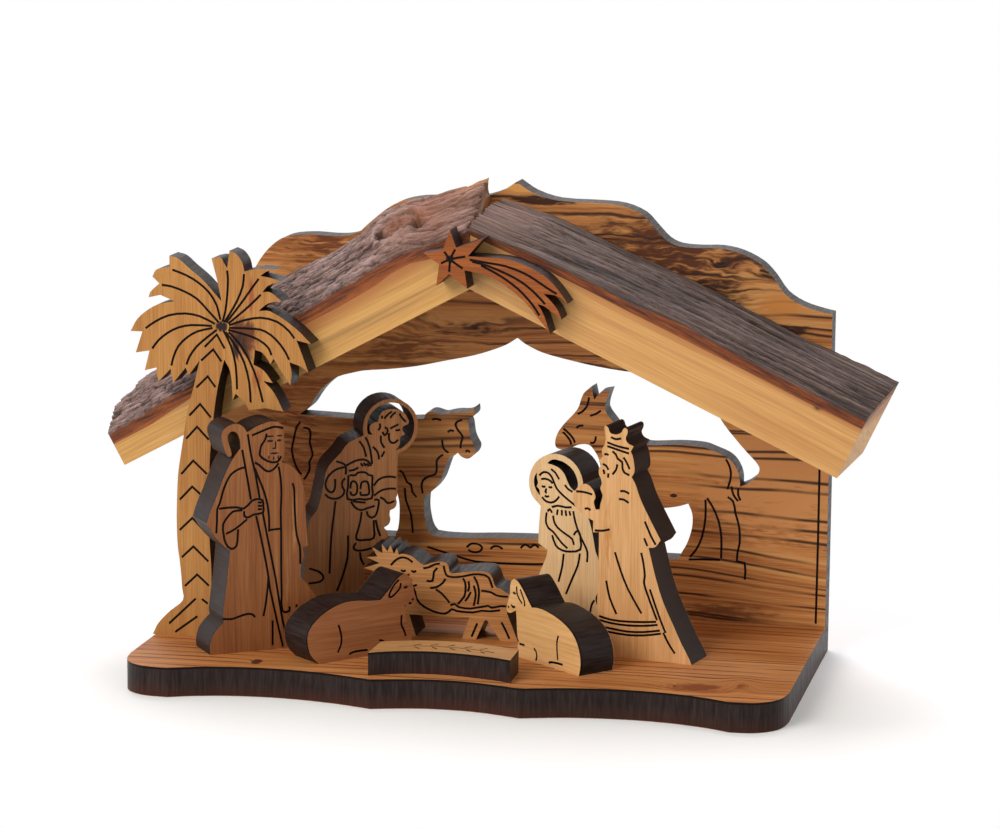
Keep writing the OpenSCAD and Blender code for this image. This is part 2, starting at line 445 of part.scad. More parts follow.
module comet_star() {
    unit = comet_w / comet_grid_share;
    color("chocolate")
        translate([comet_x_share * stable_w, roof_y - comet_t, ridge_z + comet_z_share * comet_w])
        difference() {
            standing(comet_t) outline(comet_outline_shares, unit, unit);
            engraving(comet_line_shares, unit, unit);
        }
}

// Shepherd with hat and crook

shepherd_grid_share = 54.6;
shepherd_outline_shares = [
    [-0.3, 0, 1], [-0.4, 2], [0.3, 4.5], [1.6, 6.2], [3, 7.5, 1], [2.8, 9, 1], [3.3, 13], [4, 18],
    [4.7, 24.6, 1],
    [3, 26], [1, 28.2], [-1, 31.5, 1], [0, 34.5], [1.6, 38], [3.4, 42.5], [5.4, 46.2], [7.4, 48.8, 1],
    [7.2, 50.8], [6.5, 52.4], [5.3, 52.9], [4.3, 52], [4.4, 50.4], [5.2, 47.5], [4.7, 46.9], [4, 47.4],
    [3.2, 49.6], [2.7, 51.8], [3.2, 53.3], [4.6, 54.3], [6.4, 54.6], [8, 53.9], [9, 52.4, 1],
    [9.8, 52.8], [11.2, 53.6], [13, 54.2], [15, 54.6], [17, 54.2], [18.4, 53, 1],
    [18.2, 51], [18.4, 48], [18.1, 46], [17.6, 44.8, 1], [19.6, 44], [21.3, 42.4], [22.6, 40], [23.3, 37],
    [23.5, 33],
    [23.8, 28], [24.1, 24.3, 1], [22.8, 24, 1], [23.1, 22], [22.4, 19.6], [22.4, 17], [24, 14.8], [26, 12],
    [27, 6], [27, 0, 1]];
shepherd_line_shares = [
    [[10.2, 51.6], [12, 52.2], [14, 52.9], [16, 53.3], [18, 52.8]],
    [[7.8, 48.4], [8.5, 44.5], [9.3, 40], [9.9, 36.4]],
    [[9.2, 52], [9.9, 47.5], [10.7, 44], [11.5, 40], [12.1, 36.4]],
    [[11.2, 32.4], [12.3, 27.5], [13.8, 20], [14.2, 17.5], [14.6, 14.5], [17.8, 0.4]],
    [[12.9, 32.8], [13.8, 28], [16, 17], [17.3, 9], [18.6, 3]],
    [[10.9, 45.2], [12.2, 44.3], [13.5, 43.1], [14.7, 42.8], [16, 43.6], [16.8, 44.6]],
    [[13.9, 51.8], [13.4, 50.2], [12.6, 49.2], [12.2, 47.6], [12.2, 46.7], [13.5, 45.6], [15.2, 44.9],
    [16.6, 45], [17.5, 46.2]],
    [[8.5, 44.2], [6.8, 43.8], [5, 42.7], [3.8, 40.8], [2.9, 38.5], [2.2, 36], [1.6, 34.8], [1.5, 32],
    [1.3, 29]],
    [[2, 34.8], [4, 34.9], [6.5, 34.8], [8.2, 34.4], [10.2, 36.1], [11.5, 36.4], [12.8, 36], [13, 34.5],
    [12.9, 33.1],
     [10.6, 32.8], [9.2, 32.2], [8.3, 32.6], [8.3, 33.8]],
    [[7.8, 34], [5.5, 33.9], [4, 32.5], [3, 31], [3.1, 28.8], [3.6, 26.5], [5, 25], [6.3, 25.7], [6.6, 28],
    [6.7, 29.6]],
    [[3.7, 28.7], [6, 29.7], [9, 31.8]],
    [[11.6, 35.6], [12.7, 35.5]], [[11.6, 34.8], [12.7, 34.7]], [[11.6, 34], [12.7, 33.9]],
    [[10.9, 43.8], [11.8, 41.5], [13, 38.5], [14, 35], [14.4, 31.5], [14.4, 28.4]],
    [[16.8, 43.8], [17.3, 41], [17.5, 37], [17.3, 33], [17.4, 28], [17.4, 20], [17.5, 13], [17.7, 9],
    [19.4, 8.9], [19.4, 10]],
    [[14.6, 28.8], [17.2, 28.9]],
    [[20.3, 39.6], [20.7, 38], [20.8, 34], [21, 30], [21.3, 27], [22.1, 24.2], [22.2, 20]],
    [[2.3, 8.5], [5, 8.2], [7, 8.7], [9, 9.1], [10.3, 8.8], [10.8, 8.1]],
    [[12.9, 8.2], [13.5, 11], [14, 15], [14.2, 17.2]],
    [[15.2, 7], [15.2, 1]], [[21.2, 9.6], [21.3, 10.4]]];

// It stands just ahead of the palm: across as a share of the width, and ahead in thicknesses of a figure
shepherd_x_share = -0.3806;
shepherd_ahead_share = 1.69;
shepherd_angle = 36;

module shepherd_figure() {
    color("sienna")
        translate([shepherd_x_share * stable_w, roof_y - palm_t - shepherd_ahead_share * figure_t, base_t])
        rotate([0, 0, shepherd_angle])
        figure(shepherd_outline_shares, shepherd_line_shares, shepherd_h / shepherd_grid_share);
}

// Figure with the lantern: a halo ring stands round the head

lantern_grid_share = 54.7;
lantern_outline_shares = [
    [-1, 0, 1], [-1, 12], [-0.6, 20], [0.2, 25.5], [2, 28], [2.8, 30], [3.3, 32.5], [3.8, 34.5], [4.2, 37],
    [5, 38.8], [6.3, 40.3], [8, 42], [9.5, 44], [11, 44.9], [13.7, 46, 1], [13.5, 48], [14.4, 51.2],
    [17, 53.8], [20.4, 54.7], [23.8, 53.8], [26.4, 51.2], [27.3, 47.8], [26.4, 44.4], [24.4, 42.2],
    [22.2, 41.1, 1], [22.1, 36], [22.1, 31], [21.8, 30.2], [22, 29], [21.5, 27.8], [20.3, 27.2, 1],
    [20.2, 26], [20.4, 25], [20, 23.8], [18.8, 23, 1], [19.8, 21.5], [19.5, 20.5], [18, 20, 1],
    [17.8, 18], [15, 15], [14, 12], [14, 0, 1]];
lantern_halo_gap_shares = [
    [14.8, 46.2, 1], [14.5, 47.8], [15.2, 50.8], [17.4, 53], [20.4, 53.8], [23.4, 53], [25.6, 50.8],
    [26.3, 47.8], [25.6, 44.8], [23.4, 42.6], [21.6, 42, 1], [22.3, 42.8], [22.8, 43.8], [22.7, 44.7],
    [23, 45.4], [23.9, 45.9], [23.3, 47], [23.6, 47.9], [24.9, 48.5], [24.5, 50.1], [23.2, 51.6],
    [21, 52.2], [19, 52], [17.9, 51.2], [17.2, 49.2, 1], [16.1, 49], [15.2, 48.2], [15.3, 46.9],
    [16, 46.1, 1]];
lantern_line_shares = [
    [[9.9, 36.4], [9.8, 33.5], [9.7, 30.5], [12.5, 30.4], [15.7, 30.4], [15.8, 33], [15.9, 35.7]],
    [[10.2, 36.4], [11.6, 36.3], [12.2, 36.9], [14, 36.9], [15, 36.2], [16.1, 35.9]],
    [[10.4, 32.4], [10.6, 31.6], [11.4, 31.4], [12, 32], [12.1, 33.5], [11.7, 34.6], [10.9, 34.8],
     [10.5, 34.2], [10.4, 33]],
    [[12.9, 32.2], [13, 31.4], [14.2, 31.3], [15, 31.5], [15, 33], [14.7, 34.4], [13.8, 34.7],
     [13.1, 34.2], [12.9, 32.8]],
    [[9.4, 38.8], [11.5, 39.8], [13.4, 40.1], [14.8, 39.6], [15.6, 38.4]],
    [[10, 37.5], [11.2, 37.6], [12.4, 38.2]],
    [[12.9, 39.2], [13.6, 38.4]], [[13.7, 39.3], [14.3, 38.4]], [[14.5, 39.1], [15, 38.3]],
    [[6.8, 39.9], [7.8, 39.6], [9, 39], [9.3, 37.6], [9.2, 36.6]],
    [[8.9, 38.4], [7, 38], [5, 36.5], [4.2, 34.6], [4.4, 33.4], [5.6, 32.3], [6.5, 33.2], [6.6, 35.6]],
    [[4.1, 32], [5, 31.1], [6.7, 30.7], [8.3, 31.3], [8.9, 32.6], [8.4, 33.6], [8.4, 34.9], [9.1, 35.7]],
    [[6.7, 30.2], [6.3, 27], [5.6, 21], [5.2, 12.2]],
    [[9.8, 21.5], [9.7, 16], [8.3, 11], [7, 7.8]],
    [[10.5, 29.9], [11.5, 28.4], [13, 27.6], [14.6, 28], [16.5, 28.5]],
    [[11, 29.9], [12.6, 29.6], [14.2, 29.4]],
    [[16.3, 30], [17.4, 29.9], [17.4, 28.5], [16.8, 26.3], [15.8, 25.6], [14.8, 26.2], [14.5, 27.3]],
    [[13.2, 27.2], [12.9, 25], [12.2, 22.4], [11.9, 20.4], [14, 20.2], [16.2, 20.5], [16.3, 22.6],
     [16.2, 25]],
    [[11.8, 19.5], [11.2, 18.5], [11.8, 17.7], [13.6, 17.6], [16, 18.1]],
    [[12.8, 17.2], [13, 15.6], [13.8, 14]],
    [[16.7, 25], [17.3, 22.5], [17.9, 20.9]],
    [[16.2, 33.5], [17.5, 35], [19.6, 35.6], [21.8, 35.3]],
    [[16.3, 31], [18, 32.2], [20, 32.6], [21.8, 32.5]],
    [[17.8, 30.6], [18.9, 29.9], [19.8, 29], [21.4, 29.5]],
    [[14.1, 45.6], [14.8, 44.2], [15.4, 42], [15.8, 38.9]],
    [[12.6, 44.7], [13.7, 43], [14.3, 40.7]],
    [[15.9, 43.1], [16.7, 42.4], [17.3, 41.4], [17.5, 39.9]], [[18.1, 40.5], [18.9, 41.9]],
    [[0.1, 13.8], [2.3, 13], [3.5, 12], [3.6, 11], [2.6, 10.3], [0, 10.1]],
    [[18.3, 50.7], [18.2, 49.9]], [[20.7, 51.6], [19.7, 50.9], [18.8, 49.9]],
    [[21.7, 51.4], [20.9, 50.8], [20.3, 50]],
    [[17.7, 48.8], [17.8, 47.9], [17.3, 47.1]], [[22.6, 51], [23.2, 50], [24.2, 48.9]],
    [[18.9, 47.8], [19.6, 47.3], [19.5, 46.3], [18.8, 45.9], [18.4, 46.7]],
    [[20.3, 47.4], [21.3, 47.9], [22.4, 48.4]], [[21.6, 47], [22.2, 46.9], [22.8, 47.1]],
    [[18, 45.8], [18, 44.2], [18.9, 42.7]],
    [[20, 46.3], [20, 44.9], [20.6, 43.9], [21.6, 44], [22.3, 44.6]]];

lantern_place_shares = [-0.2916, 0.6579];
lantern_angle = 28;

module lantern_figure() {
    unit = lantern_h / lantern_grid_share;
    color("peru") placed(lantern_place_shares[0], lantern_place_shares[1], lantern_angle) difference() {
        figure(lantern_outline_shares, lantern_line_shares, unit);
        translate([0, -overrun, 0]) standing(figure_t + 2 * overrun)
            outline(lantern_halo_gap_shares, unit, unit);
    }
}

// Infant in the manger, with rays round the head

manger_grid_share = 22.1;
manger_outline_shares = [
    [8.7, 0, 1], [13, 0, 1], [10.2, 7, 1], [11.9, 8.8], [12, 11.2, 1], [10.5, 11.6], [9.5, 12.2],
    [8.5, 12.8], [7.8, 12.9], [7.2, 13.6], [6.8, 14.8], [6.2, 16], [5.3, 16.6], [3, 16.7], [1, 16.5],
    [-1.5, 16.1], [-3.2, 15.8, 1], [-3.8, 16.2], [-4.1, 17.5], [-4.7, 18.3], [-6, 18.6], [-7.5, 18.4],
    [-9, 17.9], [-10.3, 17.5, 1], [-11.5, 18.3], [-12.8, 19.3], [-14, 19.8], [-15.5, 20],
    [-16.3, 19.7, 1], [-16.8, 21.3, 1], [-17.5, 19.8, 1], [-18.4, 22, 1], [-19.1, 20.4, 1],
    [-20.5, 22.1, 1], [-20.3, 19.9, 1], [-22.9, 21.2, 1], [-21.6, 19, 1], [-24.3, 18.7, 1],
    [-21, 17.4, 1], [-25, 16, 1], [-20.5, 14.9, 1], [-21.4, 12.6], [-24.5, 11, 1], [-24.5, 9],
    [-22.9, 7, 1], [-25.7, 0, 1], [-21.4, 0, 1], [-18.1, 4.9, 1], [-17.5, 4.8, 1], [-15.4, 0, 1],
    [-12, 0, 1], [-13.7, 5.2, 1], [-11, 5.2], [-8, 4.7], [-5, 4.9], [1, 5.3, 1], [-0.7, 0, 1],
    [2.7, 0, 1], [4.8, 4.8, 1], [5.4, 4.9, 1]];
manger_line_shares = [
    [[-10.3, 16.7], [-9, 17], [-7.5, 17.8], [-6.2, 18.1]],
    [[-5.3, 17.6], [-4.9, 16], [-4.3, 15.1], [-2, 15], [0, 15.4], [2, 15.9], [4.5, 15.9], [5.7, 15.3],
     [6.3, 14], [6.7, 12.8]],
    [[10.5, 10.9], [9, 10.9], [7.6, 11.1], [6.2, 11.8], [3.9, 12]],
    [[-6.8, 17], [-7.7, 15.9], [-8, 13.8], [-9.5, 13.7]],
    [[-4.8, 14.5], [-5.5, 13.4], [-7, 12.3], [-8.6, 12]],
    [[-7.2, 11.7], [-6, 11], [-4.5, 9.5], [-3.8, 8.6]],
    [[-12.9, 12], [-12.3, 11], [-12, 9.5], [-11, 8], [-9, 6.8], [-7, 6.1], [-5, 5.9], [-3.9, 6.5],
     [-3.2, 7.1], [-2, 6.7], [2, 6.6], [4, 7.1], [6.2, 7.1], [8.6, 7.5]],
    [[-3.6, 8], [-2.6, 8.4], [-1.5, 7.7], [1.4, 7.5], [5.6, 8.4], [6.5, 8], [8.7, 8.5], [10.6, 8.5]],
    [[-0.6, 14.8], [0, 13.8], [0.1, 12], [-0.2, 10.4], [-1.8, 8.4]],
    [[2.1, 15.4], [2.7, 14.4], [3.2, 13], [3.4, 11.3], [3.1, 8.6]],
    [[2.1, 13.2], [2.6, 11], [2.1, 8.2]],
    [[0.8, 14.2], [1, 12.7], [0.6, 11.6]],
    [[1.4, 11.6], [0.8, 10.4], [0, 9.2]],
    [[-18.3, 17], [-17, 18.4], [-15.5, 19.1], [-14, 18.8], [-12.9, 18]],
    [[-17.2, 15.4], [-16.7, 13.6], [-15.4, 12.4], [-13.6, 12], [-11.8, 12.6]],
    [[-15.8, 16], [-15.2, 15.7], [-14.6, 16]], [[-13.2, 16], [-12.6, 15.7], [-12, 16]],
    [[-14, 15.2], [-13.8, 14.6]], [[-14.5, 13.8], [-13.8, 13.5], [-13.1, 13.8]],
    [[1.6, 0.6], [2.3, 2.2], [3, 4]], [[8.9, 4.6], [9.9, 2.8], [10.9, 0.6]], [[-14.7, 3.7], [-13.4, 0.8]]];

manger_place_shares = [-0.0323, 0.5816];
manger_angle = 0;

module infant_manger() {
    color("chocolate") placed(manger_place_shares[0], manger_place_shares[1], manger_angle)
        figure(manger_outline_shares, manger_line_shares, manger_h / manger_grid_share);
}

// Mother with halo ring and veil

mother_grid_share = 45;
mother_outline_shares = [
    [-5, 0, 1], [-4.7, 5], [-4, 10], [-2.2, 16], [-0.7, 19.5], [-0.3, 21.5, 1], [-2.8, 22.9, 1],
    [-2.7, 26], [-2.4, 30], [-2.2, 32, 1], [-4.6, 34.4], [-5.4, 37.8], [-4.4, 41.4], [-1.8, 44],
    [1.8, 45], [5.4, 44], [8, 41.4], [9, 37.8], [8.4, 35], [7.8, 33.8, 1], [9.4, 31.9], [10.6, 29.8],
    [11.4, 27.2], [12, 24.4], [12.4, 22.4], [13.2, 20.4], [13.5, 15.4], [13.1, 12.5], [12.5, 11],
    [13.4, 8], [14, 0, 1]];
mother_halo_gap_shares = [
    [-0.6, 42.5, 1], [0.4, 43.4], [1.8, 43.6], [4.2, 43], [6.4, 41.3], [7.5, 38.9], [7.5, 37.4],
    [6.9, 36.3, 1], [5.7, 37.2], [4.8, 38.6], [3.9, 40.4], [2.6, 41.6], [1, 42.2]];
mother_face_gap_shares = [
    [-3.3, 40.1, 1], [-4, 38.8], [-4, 37], [-3.4, 35.6], [-2.4, 34.5, 1], [-2.5, 35.3], [-2.7, 36.1],
    [-3.3, 36.6], [-3, 37.6], [-3.3, 38.8]];
mother_line_shares = [
    [[-2.7, 39.3], [-1.5, 40.3], [0, 40], [1, 38.6], [2, 36.6], [4, 34.9], [6.3, 33.4], [8.8, 32]],
    [[-2.2, 38.5], [-1, 38.7], [0.3, 38.3], [0.9, 37.7]],
    [[0.4, 41.2], [1.6, 40.4], [2.6, 38.9]],
    [[4.1, 37.7], [5, 36.8], [6.2, 36.2]],
    [[-2, 36.9], [-1.5, 36.7], [-1, 36.9]], [[-0.2, 36.9], [0.3, 36.7], [0.8, 36.9]],
    [[-0.7, 36.4], [-1, 35.6], [-0.6, 35.3]], [[-1.2, 34.6], [-0.6, 34.4], [0, 34.6]],
    [[-1.9, 34.2], [-0.9, 33.3], [0.6, 33.1], [1.8, 33.7], [2.7, 34.8]],
    [[0.7, 32], [2.4, 32.5], [4.4, 32.3], [6, 32.5]],
    [[2.3, 31.6], [2.1, 30.2]], [[3.4, 31.6], [3.4, 30.2]], [[4.4, 31.6], [4.6, 30.2]],
    [[5.4, 31.5], [5.7, 30.4]],
    [[-0.6, 30.6], [-0.8, 28.4], [-0.1, 26.8], [1.1, 26.1], [3.4, 23.6], [5, 22.4]],
    [[1.1, 30], [1.4, 28.5], [2.3, 27.2], [4.5, 25.8], [6.2, 24.8], [6.7, 23.4]],
    [[-0.4, 30.8], [0.2, 31.4], [0.8, 30.6]],
    [[0.9, 25.2], [1.9, 22.8], [3.5, 21.8], [5.8, 21.7], [8.4, 22.5], [8.4, 25], [7.8, 27], [6.6, 25.8]],
    [[6.4, 31.6], [7, 29], [8.1, 26.2], [9.5, 23.7], [10.3, 22], [10.2, 19.6]],
    [[4, 21], [3.7, 18], [2.7, 14]],
    [[8.3, 21.5], [7.8, 18.6], [6.5, 15.5], [4.7, 11.2]],
    [[12.3, 10.6], [11.5, 9.2], [11, 6]]];

mother_place_shares = [0.0903, 0.6605];
mother_angle = -15;

module mother_figure() {
    unit = mother_h / mother_grid_share;
    color("burlywood") placed(mother_place_shares[0], mother_place_shares[1], mother_angle) difference() {
        figure(mother_outline_shares, mother_line_shares, unit);
        translate([0, -overrun, 0]) standing(figure_t + 2 * overrun) {
            outline(mother_halo_gap_shares, unit, unit);
            outline(mother_face_gap_shares, unit, unit);
        }
    }
}

// King with a vessel

king_grid_share = 54.7;
king_outline_shares = [
    [20.2, 0, 1], [19.6, 1.4], [17.5, 5], [15.5, 9], [13, 14], [11.5, 18], [10.3, 22], [9.5, 25],
    [9, 26.8, 1], [10.7, 27.2], [12, 28.9, 1], [10.5, 31.5], [8.5, 35], [7, 37.8], [6.4, 39.2],
    [5.4, 41.8], [4.5, 43.2, 1], [5.2, 44.4], [5.1, 46.4], [4.7, 48.2], [4.2, 49.2, 1], [4.9, 50.5, 1],
    [3.5, 51.1], [2.9, 52.2], [3.3, 53.3], [3.3, 54.3], [2.5, 54.6], [1.9, 53.6, 1], [1.2, 53.1],
    [0.2, 52.9], [-1, 53.2], [-1.6, 54.5], [-2.4, 54.7], [-2.3, 53], [-2.1, 51.6], [-2.4, 50.2, 1],
    [-2.9, 49.3], [-3, 48.2], [-2.8, 47.4], [-3.8, 46.2], [-3.1, 45.7], [-3.3, 45.2], [-3.7, 44.4],
    [-3.7, 43.2], [-3.2, 42.2], [-2.9, 41, 1], [-3.3, 39.8], [-2.7, 38.2], [-3.2, 36.2], [-3.4, 34.8, 1],
    [-4.4, 34.7, 1], [-4.9, 36.5], [-4.5, 37.6], [-5.2, 39.4], [-7, 40.6], [-9.2, 39.4], [-10.1, 37.4],
    [-9.6, 35], [-7.4, 33.1], [-5, 32, 1], [-5, 29.2, 1], [-3.5, 29.4, 1], [-3.5, 24], [-3.7, 14],
    [-4, 0, 1]];
king_line_shares = [
    [[-1.7, 50.9], [0, 50.4], [2, 50], [3.8, 49.8]], [[-1.7, 50], [0, 49.6], [2, 49.1], [3.8, 48.7]],
    [[-0.8, 52.2], [0.4, 51.8], [1.8, 52.1]],
    [[-0.4, 48.9], [0.5, 48.2], [1, 47.2], [2.1, 46.5], [2.2, 45.2], [2.7, 44.1], [4, 43.6]],
    [[2.4, 47.7], [3.2, 46.6], [4, 45]],
    [[-2.4, 47.9], [-1.9, 48.1], [-1.3, 47.9]],
    [[-2.8, 45.7], [-1.9, 45.3], [-1.3, 44.4]], [[0.9, 45.9], [0.6, 44.6], [-0.3, 43.4]],
    [[-2.6, 44.4], [-2.3, 43.3]], [[-1.3, 43.6], [-1.4, 42.5]],
    [[1.7, 39.6], [2.8, 39.7], [4, 39.2]],
    [[1.4, 37.7], [2.6, 37.7], [3.9, 37]],
    [[-4.6, 29.7], [-2.6, 29.8], [-0.8, 30.3]],
    [[-9.4, 38.6], [-7.4, 38.6], [-5.3, 38.2]],
    [[-7.2, 34.6], [-6.4, 34.8], [-5.7, 34.4]],
    [[0.6, 25], [2, 21], [4, 16.5], [7.5, 11]], [[-1.5, 18], [-0.6, 14], [1.2, 10.2]],
    [[7.2, 25.5], [7.8, 23], [8.2, 20], [8, 18.5], [8.8, 16], [11.4, 9.8]],
    [[9.5, 17], [12, 10.5], [13.6, 7]], [[13, 7], [14.4, 4.5], [16, 2.3]],
    [[-3.2, 9.3], [0, 8.7], [4, 8.7], [8, 9], [11.2, 9.4]],
    [[-3.2, 8.4], [0, 7.9], [4, 7.8], [8, 8.1], [11.6, 8.7]],
    [[-3.2, 6.9], [0, 6.6], [4, 6.3], [8, 6.6], [12.2, 7.4]],
    [[-3.2, 5.9], [0, 5.7], [4, 5.5], [8, 5.8], [12.5, 6.7]],
    [[8, 33], [9.5, 29.8], [10.8, 27.7]], [[7.9, 29], [8.7, 27.2]]];

king_place_shares = [0.2071, 0.4711];
king_angle = -12;

module king_figure() {
    color("peru") placed(king_place_shares[0], king_place_shares[1], king_angle)
        figure(king_outline_shares, king_line_shares, king_h / king_grid_share);
}

// Sheep that lie on the base

sheep_grid_share = 18.4;
right_sheep_outline_shares = [
    [0.2, 0, 1], [0.2, 2.8], [0.6, 3.8], [0.2, 4.6], [-0.2, 7], [-0.4, 9.6], [-0.6, 11, 1], [-1.5, 10.6],
    [-2.8, 10], [-3.8, 10.2], [-4.2, 11], [-3.7, 12.5], [-3, 14.3], [-2.9, 16], [-2.5, 17.6],
    [-1.5, 18.4], [-0.3, 18.2], [1, 17.3], [3, 15.3], [4.5, 13.6], [5.3, 12.8, 1], [7.5, 13.1],
    [10, 13], [13, 12.5], [16, 11.7], [19, 10.4], [21, 8.9], [22.5, 6.8], [23.3, 4.5], [23.4, 2.2],
    [22.9, 0, 1]];
right_sheep_line_shares = [
    [[-1.8, 14.9], [-1.2, 15.1], [-0.8, 14.8]], [[-3.7, 11.3], [-3.2, 11.4]],
    [[-0.4, 16.8], [-0.3, 15.2], [0.6, 14], [1.7, 13.1]],
    [[0.9, 16.4], [1.8, 15], [2.6, 13.6], [2.6, 12.6]],
    [[0.8, 3.3], [2.8, 3.3]], [[6.2, 3.3], [7, 2.7], [7.4, 1.5], [7, 0.4]],
    [[15.3, 8], [14.8, 6.5], [14.9, 4], [15.2, 2.2]], [[11.8, 0.9], [13, 1.3], [17, 1.5]],
    [[-2.4, 12.1], [-1.8, 11.6], [-0.9, 11.9]]];
left_sheep_outline_shares = [
    [0, 0, 1], [-2.2, 2.3], [-3, 4.8], [-3.1, 6.7], [-2.5, 8.5], [-0.7, 10.4], [1.8, 12], [6, 13.5],
    [10.2, 13.7], [14.4, 13.2], [17.2, 13, 1], [19.4, 15], [21.1, 16.7], [22.8, 18.1], [24.3, 18.4],
    [25.4, 17.6], [26.3, 15.8], [26.8, 13.5], [27.4, 11.5], [26.8, 10.5], [25.4, 10.2], [24, 11, 1],
    [24, 9.2], [24.6, 7.2], [25.6, 5.4], [26.3, 3.8], [25.9, 2], [25.4, 0, 1]];
left_sheep_line_shares = [
    [[22.4, 17.2], [21.2, 16.3], [20.2, 15], [19.6, 13.6], [20.4, 13.4], [21.6, 14.2], [22.7, 15.2],
     [22.9, 16.4]],
    [[23.8, 15.3], [24.3, 15.1], [24.8, 15.4]], [[26.1, 11.9], [26.6, 12.1]], [[25.2, 11.3], [26, 11.1]],
    [[5.4, 8.6], [6.1, 6.5], [6.2, 4], [5.2, 2]], [[23.2, 8.6], [23.1, 6.4], [23.9, 4.8], [24.4, 3.4]],
    [[16.8, 3.4], [18, 3], [18.6, 1.8], [18.2, 0.6]], [[8.4, 1.2], [10, 1.6], [13.6, 1.5]]];

right_sheep_place_shares = [0.0697, 0.3921];
right_sheep_angle = -40;

module sheep_right() {
    color("tan") placed(right_sheep_place_shares[0], right_sheep_place_shares[1], right_sheep_angle)
        figure(right_sheep_outline_shares, right_sheep_line_shares, right_sheep_h / sheep_grid_share);
}
left_sheep_place_shares = [-0.209, 0.1553];
left_sheep_angle = 48;

module sheep_left() {
    color("sienna") placed(left_sheep_place_shares[0], left_sheep_place_shares[1], left_sheep_angle)
        figure(left_sheep_outline_shares, left_sheep_line_shares, left_sheep_h / sheep_grid_share);
}

// Everything

base_plate();
back_wall();
roof_left_timber();
roof_left_bark();
roof_right_timber();
roof_right_bark();
palm_tree();
comet_star();
shepherd_figure();
lantern_figure();
infant_manger();
mother_figure();
king_figure();
sheep_left();
sheep_right();
name_plate();
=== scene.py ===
# %% [markdown]
# # A wooden nativity stable
#
# The real object is glued together from flat pieces of olive wood and from two half-round slabs
# of a split branch. A laser cut the flat pieces and drew their lines, so every cut edge and every
# line is charred, while the faces keep the colour of the wood. The slabs were sawn, and they keep
# their bark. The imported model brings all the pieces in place; this lesson gives them their woods,
# builds the bark, and sets up the camera and the light.

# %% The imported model
import bpy, math
import numpy as np
from mathutils import Matrix, Vector, noise


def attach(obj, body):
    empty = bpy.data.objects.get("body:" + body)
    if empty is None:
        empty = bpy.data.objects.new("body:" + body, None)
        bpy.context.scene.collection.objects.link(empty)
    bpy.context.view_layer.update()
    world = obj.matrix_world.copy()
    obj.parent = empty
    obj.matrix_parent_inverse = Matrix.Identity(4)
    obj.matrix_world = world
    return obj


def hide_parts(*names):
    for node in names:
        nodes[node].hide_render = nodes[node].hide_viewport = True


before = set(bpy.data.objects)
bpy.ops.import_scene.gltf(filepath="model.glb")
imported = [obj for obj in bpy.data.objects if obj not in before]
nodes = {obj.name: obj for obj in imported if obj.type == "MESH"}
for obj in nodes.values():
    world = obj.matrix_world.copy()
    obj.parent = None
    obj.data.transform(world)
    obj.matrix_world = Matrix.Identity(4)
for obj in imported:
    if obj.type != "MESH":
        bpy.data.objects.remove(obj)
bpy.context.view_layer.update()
MM = 0.001
print("pieces:", sorted(nodes))

# %% [markdown]
# ## Camera
#
# A photograph of a small object taken from a step away has little perspective. The long lens below
# stands 12 degrees to the right of the middle and looks down by 10 degrees. The camera's own axes
# are worked out from these angles, because a matrix leaves nothing to chance.

# %% Camera
YAW, PITCH, ROLL = 0.21067, 0.17478, 0.008    # radians
EYE = Vector((179.555, -818.70, 210.938)) * MM
FILM = 36                      # mm, the width of the film
FOCAL, PICTURE = 3629, 1000    # pixels: how far the lens stands from the picture, and its width
look = Vector((-math.sin(YAW) * math.cos(PITCH), math.cos(YAW) * math.cos(PITCH), -math.sin(PITCH)))
level = Vector((math.cos(YAW), math.sin(YAW), 0))
upright = level.cross(look)
right = level * math.cos(ROLL) + upright * math.sin(ROLL)
up = upright * math.cos(ROLL) - level * math.sin(ROLL)
camera = bpy.data.objects.new("camera", bpy.data.cameras.new("camera"))
bpy.context.scene.collection.objects.link(camera)
camera.matrix_world = Matrix.Translation(EYE) @ Matrix((right, up, -look)).transposed().to_4x4()
camera.data.sensor_width = FILM
camera.data.lens = FOCAL * FILM / PICTURE
bpy.context.scene.camera = camera
bpy.context.scene.view_settings.view_transform = "Standard"
print("lens", round(camera.data.lens, 1), "mm at", [round(x, 3) for x in camera.matrix_world.translation])

# %% [markdown]
# ## Two helpers
#
# Colours are written as sRGB values, the way a paint chart gives them, and Blender works in linear
# light, so one function turns the one into the other. The other adds a node to a material. What
# feeds the node follows its settings, in the order of its inputs, so a row of nodes reads like
# a sum.

# %% Colours
def paint(code):
    """An sRGB colour such as C88A45 as linear red, green, blue and alpha."""
    parts = [int(code[i:i + 2], 16) / 255 for i in (0, 2, 4)]
    return [x / 12.92 if x <= 0.04045 else ((x + 0.055) / 1.055) ** 2.4 for x in parts] + [1]

# %% Nodes
def add(tree, kind, settings=(), *feeds, **named):
    """Adds a node. A feed is a number, a colour code, or the node or output that is linked."""
    made = tree.nodes.new("ShaderNode" + kind)
    for key, value in dict(settings).items():
        if key == "stops":
            for _ in value[2:]:
                made.color_ramp.elements.new(0.5)
            for element, (at, code) in zip(made.color_ramp.elements, value):
                element.position, element.color = at, paint(code)
        else:
            setattr(made, key, value)
    inputs = [socket for socket in made.inputs if socket.enabled]
    pairs = list(zip(inputs, feeds))
    pairs += [(made.inputs[key.replace("_", " ")], value) for key, value in named.items()]
    for socket, value in pairs:
        if isinstance(value, bpy.types.Node):
            value = next(output for output in value.outputs if output.enabled)
        if isinstance(value, bpy.types.NodeSocket):
            tree.links.new(value, socket)
        else:
            socket.default_value = paint(value) if isinstance(value, str) else value
    return made

